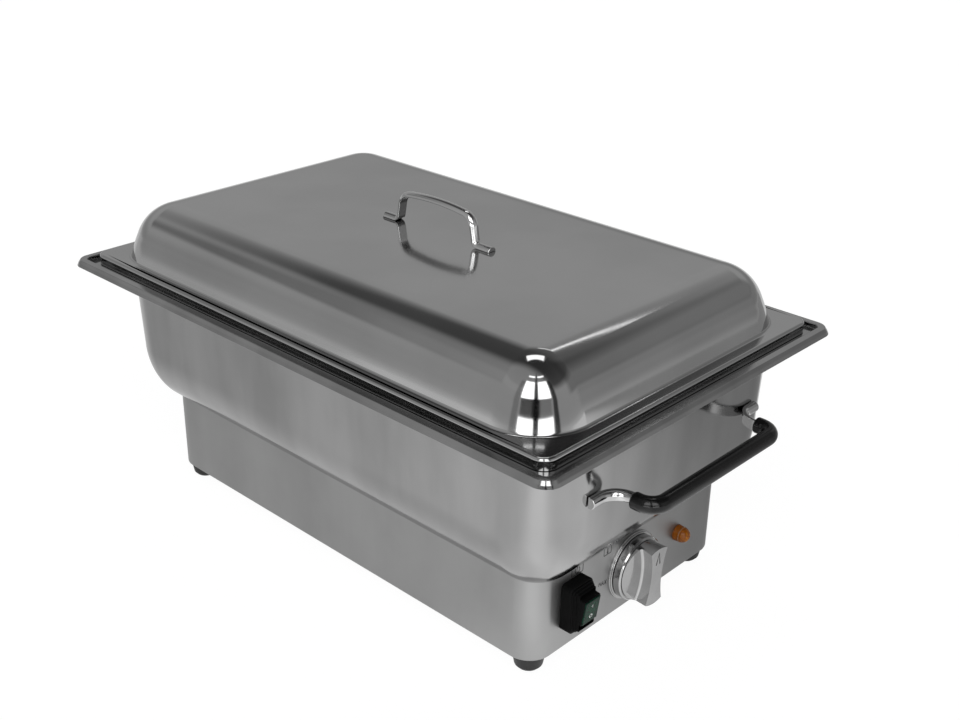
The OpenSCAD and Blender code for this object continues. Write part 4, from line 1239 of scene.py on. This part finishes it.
@dataclass
class PilotLamp:
    """Pilot lamp: fixing collar, amber lens and pale ring, held by pairs of level and radius."""

    panel: Panel = field(default_factory=Panel)
    y: float = 60.0
    z: float = 52.5
    tail: Pair = (-25.0, 5.0)
    collar: tuple[Pair, Pair] = ((0.1, 7.0), (1.5, 7.0))
    lens: tuple[Pair, Pair] = ((0.2, 7.1), (4.8, 6.6))
    groove: tuple[Pair, Pair] = ((4.8, 5.0), (5.9, 5.0))
    cap: tuple[Pair, Pair] = ((5.9, 6.4), (5.5, 6.5))
    ring: tuple[Pair, Pair] = ((4.9, 5.1), (5.8, 6.85))

    def make(self) -> None:
        """Adds the collar, lens and ring."""
        (tail, neck), (foot, face) = self.tail, self.collar
        body = [(tail, 0.0), (tail, neck), (foot[0], neck), foot, face, (face[0], 0.0)]
        lens = [(self.lens[0][0], 0.0), *self.lens, *self.groove, self.cap[0]]
        lens += arc((self.cap[1][0], 0.0), self.cap[1][1], 86.0, 0.0, 20)
        (low, inner), (high, outer) = self.ring
        ring = [(low, inner), (low, outer), (high, outer), (high, inner)]
        parts = [
            ("lamp_housing", Slot.LAMP, body, {4: 0.4}, "lamp_body"),
            ("lens_moulding", Slot.LENS, lens, {2: 0.3}, "lamp_lens"),
            ("ring_moulding", Slot.RING, ring, {1: 0.3, 2: 0.3}, "lamp_ring"),
        ]
        for name, slot, profile, radii, node in parts:
            line = soften(profile, radii, step=20.0)
            Draft().lathe(line, self.panel.at(self.y, self.z), 96).add(name, "base", slot, node)


@dataclass
class Switch:
    """Rocker switch: frame, stepped boot, rocker and window."""

    panel: Panel = field(default_factory=Panel)
    y: float = -76.9
    z: float = 54.4
    rocker_rise: float = 2.8
    seat: float = 0.1
    frame: Pair = (25.6, 41.4)
    frame_p: float = 10.0
    frame_wall: float = 2.6
    corner: float = 4.0
    boot: Pair = (24.6, 38.4)
    boot_p: float = 15.6
    boot_steps: tuple[Pair, ...] = ((0.0, 0.1), (0.0, 1.12), (1.3, 1.4), (1.4, 3.1), (2.6, 3.4))
    boot_insets: Pair = (2.7, 3.2)
    rocker: Pair = (18.6, 23.2)
    rocker_back: float = 2.0
    rocker_p: float = 19.0
    rocker_corner: float = 1.2
    recess: float = 1.9
    window: Pair = (17.2, 21.6)
    window_back: float = 17.0
    window_p: float = 20.0
    window_corner: float = 0.8
    hub: float = 6.0
    tilt: float = 8.0

    def tilted(self, a: float, b: float, level: float) -> Vector:
        """Puts a point on the tilted rocker."""
        up, out = turned_by([(b, level - self.hub)], self.tilt)[0]
        return Vector((self.panel.x + self.hub + out, self.y + a, self.z + self.rocker_rise + up))

    @staticmethod
    def mould(
        size: Pair, corner: float, line: Sequence[Pair], steps: int, place: Place, closed: bool
    ) -> Draft:
        """Draws a moulding of a width and height, by its section out from the corner centres."""
        plan = Plan(size[0] / 2 - corner, size[1] / 2 - corner)
        return Draft().press(stations(plan, line), steps, place, closed)

    def make(self) -> None:
        """Adds the switch's pieces."""
        place = self.panel.at(self.y, self.z)
        corner, inner, high = self.corner, self.corner - self.frame_wall, self.frame_p
        frame = [(inner, self.seat), (corner, self.seat), (corner, high), (inner, high)]
        rim = soften(frame, {1: 0.3, 2: 0.8}, step=15.0)
        collar = self.mould(self.frame, corner, rim, 10, place, True)
        collar.add("switch_collar", "base", Slot.SWITCH, "switch_frame")
        outer, inner = (corner - inset for inset in self.boot_insets)
        boot = [(corner - inset, high + rise) for inset, rise in self.boot_steps]
        boot += [(outer, self.boot_p), (inner, self.boot_p), (inner, high + self.seat)]
        skin = soften(boot, {1: 0.35, 2: 0.3, 3: 0.4, 4: 0.3, 5: 0.5}, step=22.0)
        cover = self.mould(self.boot, corner, skin, 10, place, True)
        cover.add("boot_moulding", "base", Slot.BOOT, "switch_boot")
        corner, high = self.rocker_corner, self.rocker_p
        rocker = [(0.1, self.rocker_back), (corner, self.rocker_back), (corner, high), (0.2, high)]
        rocker += [(0.15, high - self.recess), (0.0, high - self.recess)]
        shell = soften(rocker, {1: 0.5, 2: 0.5}, step=22.0)
        button = self.mould(self.rocker, corner, shell, 8, self.tilted, False)
        button.add("rocker_moulding", "rocker", Slot.SWITCH, "switch_rocker")
        corner, low, high = self.window_corner, self.window_back, self.window_p
        pane = soften([(0.1, low), (corner, low), (corner, high), (0.1, high)], {2: 0.6}, step=15.0)
        window = self.mould(self.window, corner, pane, 8, self.tilted, False)
        window.add("window_moulding", "rocker", Slot.WINDOW, "rocker_window")


LETTERS: dict[str, list[list[Pair]]] = {
    "M": [[(0.0, 0.0), (0.0, 1.0), (0.5, 0.35), (1.0, 1.0), (1.0, 0.0)]],
    "A": [[(0.0, 0.0), (0.5, 1.0), (1.0, 0.0)], [(0.2, 0.35), (0.8, 0.35)]],
    "X": [[(0.0, 0.0), (1.0, 1.0)], [(0.0, 1.0), (1.0, 0.0)]],
}


@dataclass
class Marks:
    """Printed marks: power sign, heat sign, end of the scale, pointer and the rocker's I and O."""

    panel: Panel
    knob: Knob
    switch: Switch
    ink: float = 0.06
    line: float = 0.7
    line_end: float = 0.05
    bold: float = 1.6
    power: Pair = (-71.2, 79.8)
    power_frame: Pair = (14.0, 8.6)
    heat: Pair = (-34.6, 79.4)
    heat_frame: Pair = (9.6, 7.4)
    frame_corner: float = 1.0
    scale_start: Pair = (-43.5, 50.0)
    scale_slope: float = -9.0
    letter: Pair = (2.6, 3.6)
    letter_pitch: float = 1.35
    pointer: tuple[Pair, ...] = ((-2.4, 11.0), (0.0, 21.5), (2.4, 11.0))

    def stroke(
        self, draft: Draft, line: Sequence[Pair], place: Place, base: float, thick: float = 1.0
    ) -> None:
        """Prints one line.

        Args:
            draft: where the faces go.
            line: the line's points.
            place: the printed surface.
            base: level of the surface.
            thick: thickness as a multiple of the usual line.
        """
        half, low = self.line * thick / 2, base + INK_GAP
        section = [(-half, low), (half, low), (half, low + self.ink), (-half, low + self.ink)]
        draft.sweep(line, section, place, self.line_end)

    def frame(self, draft: Draft, middle: Pair, size: Pair) -> None:
        """Prints a rounded frame on the panel.

        Args:
            draft: where the faces go.
            middle: the frame's place on the panel.
            size: its width and height.
        """
        outer, inner = self.frame_corner, self.frame_corner - self.line
        plan = Plan(size[0] / 2 - outer, size[1] / 2 - outer)
        band = [(outer, INK_GAP), (outer, self.ink), (inner, self.ink), (inner, INK_GAP)]
        draft.press(stations(plan, band), 5, self.panel.at(*middle), True)

    def signs(self) -> Draft:
        """Draws the panel's two framed signs and the scale's end."""
        draft = Draft()
        self.frame(draft, self.power, self.power_frame)
        self.frame(draft, self.heat, self.heat_frame)
        power, heat = self.panel.at(*self.power), self.panel.at(*self.heat)
        self.stroke(draft, arc((0.0, -0.4), 2.7, 125.0, 415.0, 24), power, 0.0)
        self.stroke(draft, [(0.0, 0.2), (0.0, 3.3)], power, 0.0)
        self.stroke(draft, arc((0.0, -1.6), 0.55, 0.0, 350.0, 12), heat, 0.0, self.bold)
        self.stroke(draft, [(0.0, -1.2), (0.0, 2.4)], heat, 0.0, self.bold)
        for k, letter in enumerate("MAX"):
            for line in LETTERS[letter]:
                wide, high = self.letter
                spots = [((k * self.letter_pitch + a) * wide, b * high) for a, b in line]
                leaning = turned_by(spots, self.scale_slope)
                self.stroke(draft, leaning, self.panel.at(*self.scale_start), 0.0)
        return draft

    def make(self) -> None:
        """Adds the prints on the panel, the knob and the rocker."""
        self.signs().add("panel_print", "base", Slot.SWITCH, finish=PRINT_GREY)
        pointer = Draft()
        line = turned_by(self.pointer, -self.knob.turn)
        face = self.panel.at(self.knob.y, self.knob.z)
        self.stroke(pointer, line, face, self.knob.wing, self.bold)
        pointer.add("pointer_print", "knob", Slot.SWITCH, finish=PRINT_GREY)
        rocker, high = Draft(), self.switch.window_p
        self.stroke(rocker, [(0.0, 3.4), (0.0, 6.2)], self.switch.tilted, high)
        self.stroke(rocker, arc((0.0, -4.8), 1.5, 0.0, 355.0, 24), self.switch.tilted, high)
        rocker.add("rocker_print", "rocker", Slot.RING, finish=PRINT_WHITE)


# Solids carried over


class InnerWorks:
    """The CAD nodes that stay: each gets the finish of its slot."""

    def dress(self) -> None:
        """Assigns a finish to every slot of every node that is shown."""
        finishes = {slot.value.name: slot.value for slot in Slot}
        for name, node in sorted(frame["nodes"].items()):
            for holder in node.material_slots:
                holder.material = finishes[holder.material.name.split(".")[0]].material()
            log.info("dressed %s", name)


# Studio


@dataclass(frozen=True)
class Patch:
    """A patch of light or shade, held by the edges of its soft steps along named axes."""

    strength: float
    edges: dict[str, Edges]

    def over(self, axes: dict[str, Value]) -> Value:
        """Gives the patch over the axes."""
        masks = [axes[name].within(*edges) for name, edges in self.edges.items()]
        return reduce(mul, masks) * self.strength


def painted(patches: Sequence[Patch], axes: dict[str, Value]) -> Value:
    """Adds up patches over the axes."""
    return reduce(add, [patch.over(axes) for patch in patches])


def heading(azimuth: float, elevation: float) -> Vector:
    """Gives the way to a camera or a lamp, from its degrees round and above the object."""
    az, el = math.radians(azimuth), math.radians(elevation)
    return Vector((math.sin(az) * math.cos(el), -math.cos(az) * math.cos(el), math.sin(el)))


# The surround's grey levels from straight down to straight up, by half of one plus the height
GRADE = ((0.0, 0.8), (0.5, 0.7), (0.53, 0.5), (0.58, 0.46), (0.77, 0.48), (0.85, 0.1), (1.0, 0.05))
# Where the surround is lit more: high at the near side, and high at the far side
WALLS = (
    Patch(0.34, {"y": (0.0, -0.3), "z": (0.5, 0.7)}),
    Patch(0.07, {"y": (0.35, 0.65), "z": (0.5, 0.7)}),
)
# The band across the middle of the light boxes, and how they end at the sides
MIDDLE: dict[str, Edges] = {"z": (0.18, 0.22, 0.42, 0.36), "ahead": (0.1, 0.2)}
ACROSS: dict[str, Edges] = {"spread": (0.005, 0.008, 0.36, 0.32), "ahead": (0.05, 0.1)}
# What takes light away, each group by its sum
SHADES = (
    # the low part of the far side and of the left end
    (
        Patch(0.36, {"y": (0.55, 0.85), "z": (0.4, 0.2)}),
        Patch(0.2, {"x": (-0.6, -0.9), "z": (0.4, 0.2)}),
    ),
    # the dark gap between the lower light boxes
    (Patch(0.9, {"spread": (0.006, 0.001), "ahead": (0.2, 0.4), "z": (0.0, 0.1)}),),
    # the flags outside the light boxes, to the right and to the left
    (
        Patch(0.85, {"off": (0.62, 0.66, 0.9, 0.84), "ahead": (0.05, 0.2), "z": (0.85, 0.8)}),
        Patch(0.35, {"off": (-0.62, -0.66, -1.0, -0.9), "ahead": (0.05, 0.2), "z": (0.85, 0.8)}),
    ),
    # what the lid's far shoulder shows
    (Patch(0.4, {"x": (0.0, 0.2), "y": (0.3, 0.5), "z": (0.22, 0.34)}),),
    # the dusk between the upper and lower light boxes, deeper to the left
    (
        Patch(0.75, {"spread": (0.36, 0.25), "off": (0.02, -0.02), **MIDDLE}),
        Patch(0.35, {"spread": (0.36, 0.25), "off": (-0.02, 0.02), **MIDDLE}),
    ),
    # the dark line down that dusk
    (Patch(0.9, {"spread": (0.03, 0.004), **MIDDLE}),),
    # what the near wall's left part shows
    (Patch(0.55, {"y": (-0.1, -0.3), "z": (0.42, 0.52), "x": (-0.5, -0.8)}),),
)
# Light boxes: the tall pair, the strip over it, the low pair, and the cap behind the camera's back
LIGHTS = (
    Patch(3.0, {"z": (0.385, 0.4, 0.84, 0.825), **ACROSS}),
    Patch(3.0, {"z": (0.905, 0.91, 0.93, 0.925), **ACROSS}),
    Patch(3.0, {"z": (0.215, 0.2), **ACROSS}),
    Patch(2.5, {"z": (0.87, 0.88, 0.96, 0.95), "ahead": (-0.2, -0.23), "breadth": (0.04, 0.03)}),
)
# Painted shade on the floor as its darker parts, and last a painted highlight as its brighter
# corner, in metres round the object; only the steel's reflections show them
FLOOR_PAINTED_SHADE_AND_LIGHT = (
    Patch(0.68, {"right": (-0.36, -0.06), "x": (0.15, 0.25)}),
    Patch(0.3, {"left": (-0.35, 0.1), "y": (-0.18, -0.3), "x": (0.3, 0.1)}),
    Patch(0.14, {"y": (-0.18, -0.3), "x": (0.3, 0.1)}),
    Patch(0.3, {"y": (-0.3, -0.19), "x": (0.2, 0.1)}),
    Patch(-0.36, {"corner": (-0.14, -0.02, 0.14, 0.02), "x": (0.2, 0.3)}),
)


@dataclass
class Studio:
    """Camera at the photograph's angle, pale floor, graded surround and a lamp behind."""

    azimuth: float = 42.987
    elevation: float = 25.416
    roll: float = 0.962
    distance: float = 1.20532
    target: Triple = (-0.018101, 0.078051, 0.122218)
    lens: float = 48.658
    sensor: float = 36.0
    floor_half: float = 14.0
    floor_share: float = 0.88
    floor_level: float = 1.08
    right_slope: float = 0.94
    left_slope: float = 0.93
    corner_line: Triple = (0.731, 0.682, 0.073)
    least_ahead: float = 0.05
    strip_azimuth: float = 196.5
    strip_elevation: float = 46.0
    strip_size: Pair = (1.2, 0.05)
    strip_level: float = 2.5
    strip_distance: float = 2.4
    strip_aim: Triple = (0.0, 0.0, 0.14)

    def camera(self) -> None:
        """Adds the camera."""
        az, roll = math.radians(self.azimuth), math.radians(self.roll)
        back = heading(self.azimuth, self.elevation)
        right = Vector((math.cos(az), math.sin(az), 0.0))
        up = back.cross(right)
        level = right * math.cos(roll) + up * math.sin(roll)
        rise = up * math.cos(roll) - right * math.sin(roll)
        data = bpy.data.cameras.new("camera")
        data.lens = self.lens
        data.sensor_width = self.sensor
        data.sensor_fit = "HORIZONTAL"
        camera = place_object("camera", data)
        matrix = Matrix((level, rise, back)).transposed().to_4x4()
        matrix.translation = Vector(self.target) + back * self.distance
        camera.matrix_world = matrix
        bpy.context.scene.camera = camera

    def floor(self) -> None:
        """Adds the pale floor, which shows white but keeps the shadow."""
        half = self.floor_half
        mesh = bpy.data.meshes.new("floor")
        corners = [(-half, -half, 0.0), (half, -half, 0.0), (half, half, 0.0), (-half, half, 0.0)]
        mesh.from_pydata(corners, [], [(0, 1, 2, 3)])
        place_object("floor", mesh)
        material = bpy.data.materials.new("floor_paper")
        material.use_nodes = True
        graph = Graph(material.node_tree)
        camera, glossy, through = (graph.ray(kind) for kind in ("Camera", "Glossy", "Transmission"))
        share = (camera + glossy + through).capped() * self.floor_share
        x, y, _ = graph.parts(graph.point())
        across, along, offset = self.corner_line
        axes = {"x": x, "y": y, "right": y - x * self.right_slope}
        axes |= {"left": y * self.left_slope - x, "corner": x * across + y * along - offset}
        # Painted shade and a painted brighter corner in the floor's tone, which the camera doesn't
        # see but the steel reflects
        tone = 1.0 - painted(FLOOR_PAINTED_SHADE_AND_LIGHT, axes)
        level = (tone * (1.0 - camera) + camera) * self.floor_level
        tint = graph.tint(graph.noise(graph.point(), 40.0), grey(0.8), grey(0.82))
        paper = graph.node("ShaderNodeBsdfDiffuse", {}, {"Color": tint})
        white = graph.node("ShaderNodeEmission", {}, {"Color": level, "Strength": 1.0})
        graph.close(graph.node("ShaderNodeMixShader", {}, {0: share, 1: paper, 2: white}))
        mesh.materials.append(material)

    def surround(self) -> None:
        """Paints what polished steel shows: graded walls, light boxes and dark gaps."""
        world = bpy.data.worlds.new("surround")
        bpy.context.scene.world = world
        world.use_nodes = True
        graph = Graph(world.node_tree)
        x, y, z = graph.parts(graph.node("ShaderNodeTexCoord", output="Generated"))
        az = math.radians(self.azimuth)
        side = x * math.cos(az) + y * math.sin(az)
        ahead = x * math.sin(az) - y * math.cos(az)
        off = side / ahead.above(self.least_ahead)
        axes = {"x": x, "y": y, "z": z, "ahead": ahead, "off": off}
        axes |= {"spread": off * off, "breadth": side * side}
        grade = graph.node("ShaderNodeValToRGB", {"stops": GRADE}, {0: z * 0.5 + 0.5})
        level = grade + painted(WALLS, axes)
        for group in SHADES:
            level = level * (1.0 - painted(group, axes))
        level = level + painted(LIGHTS, axes)
        camera = graph.ray("Camera")
        colour = level * (1.0 - camera) + camera
        shine = graph.node("ShaderNodeBackground", {}, {"Color": colour, "Strength": 1.0})
        graph.close(shine, "World")

    def lamp(self) -> None:
        """Adds the long strip lamp behind the object, which polished steel shows."""
        back = heading(self.strip_azimuth, self.strip_elevation)
        data = bpy.data.lights.new("back_strip", "AREA")
        data.shape = "RECTANGLE"
        data.size, data.size_y = self.strip_size
        data.energy = self.strip_level * math.pi * data.size * data.size_y
        lamp = place_object("back_strip", data)
        lamp.location = Vector(self.strip_aim) + back * self.strip_distance
        lamp.rotation_mode = "QUATERNION"
        lamp.rotation_quaternion = back.to_track_quat("Z", "Y")
        lamp.visible_camera = False

    def make(self) -> None:
        """Sets the camera, floor, surround and lamp."""
        self.camera()
        self.floor()
        self.surround()
        self.lamp()
        bpy.context.scene.view_settings.view_transform = "Standard"
        log.info("set the studio")


def main() -> None:
    """Builds the studio and every piece in order."""
    logging.basicConfig(level=logging.INFO, format="%(levelname)s %(message)s", stream=sys.stdout)
    Studio().make()
    InnerWorks().dress()
    panel, knob, switch = Panel(), Knob(), Switch()
    handles = [CarryingHandle("front", 1.0), CarryingHandle("rear", -1.0)]
    pieces = [Basin(), Housing(), Feet(), *handles, Pan(), Lid()]
    for piece in [*pieces, knob, PilotLamp(), switch, Marks(panel, knob, switch)]:
        piece.make()


if __name__ == "__main__":
    main()
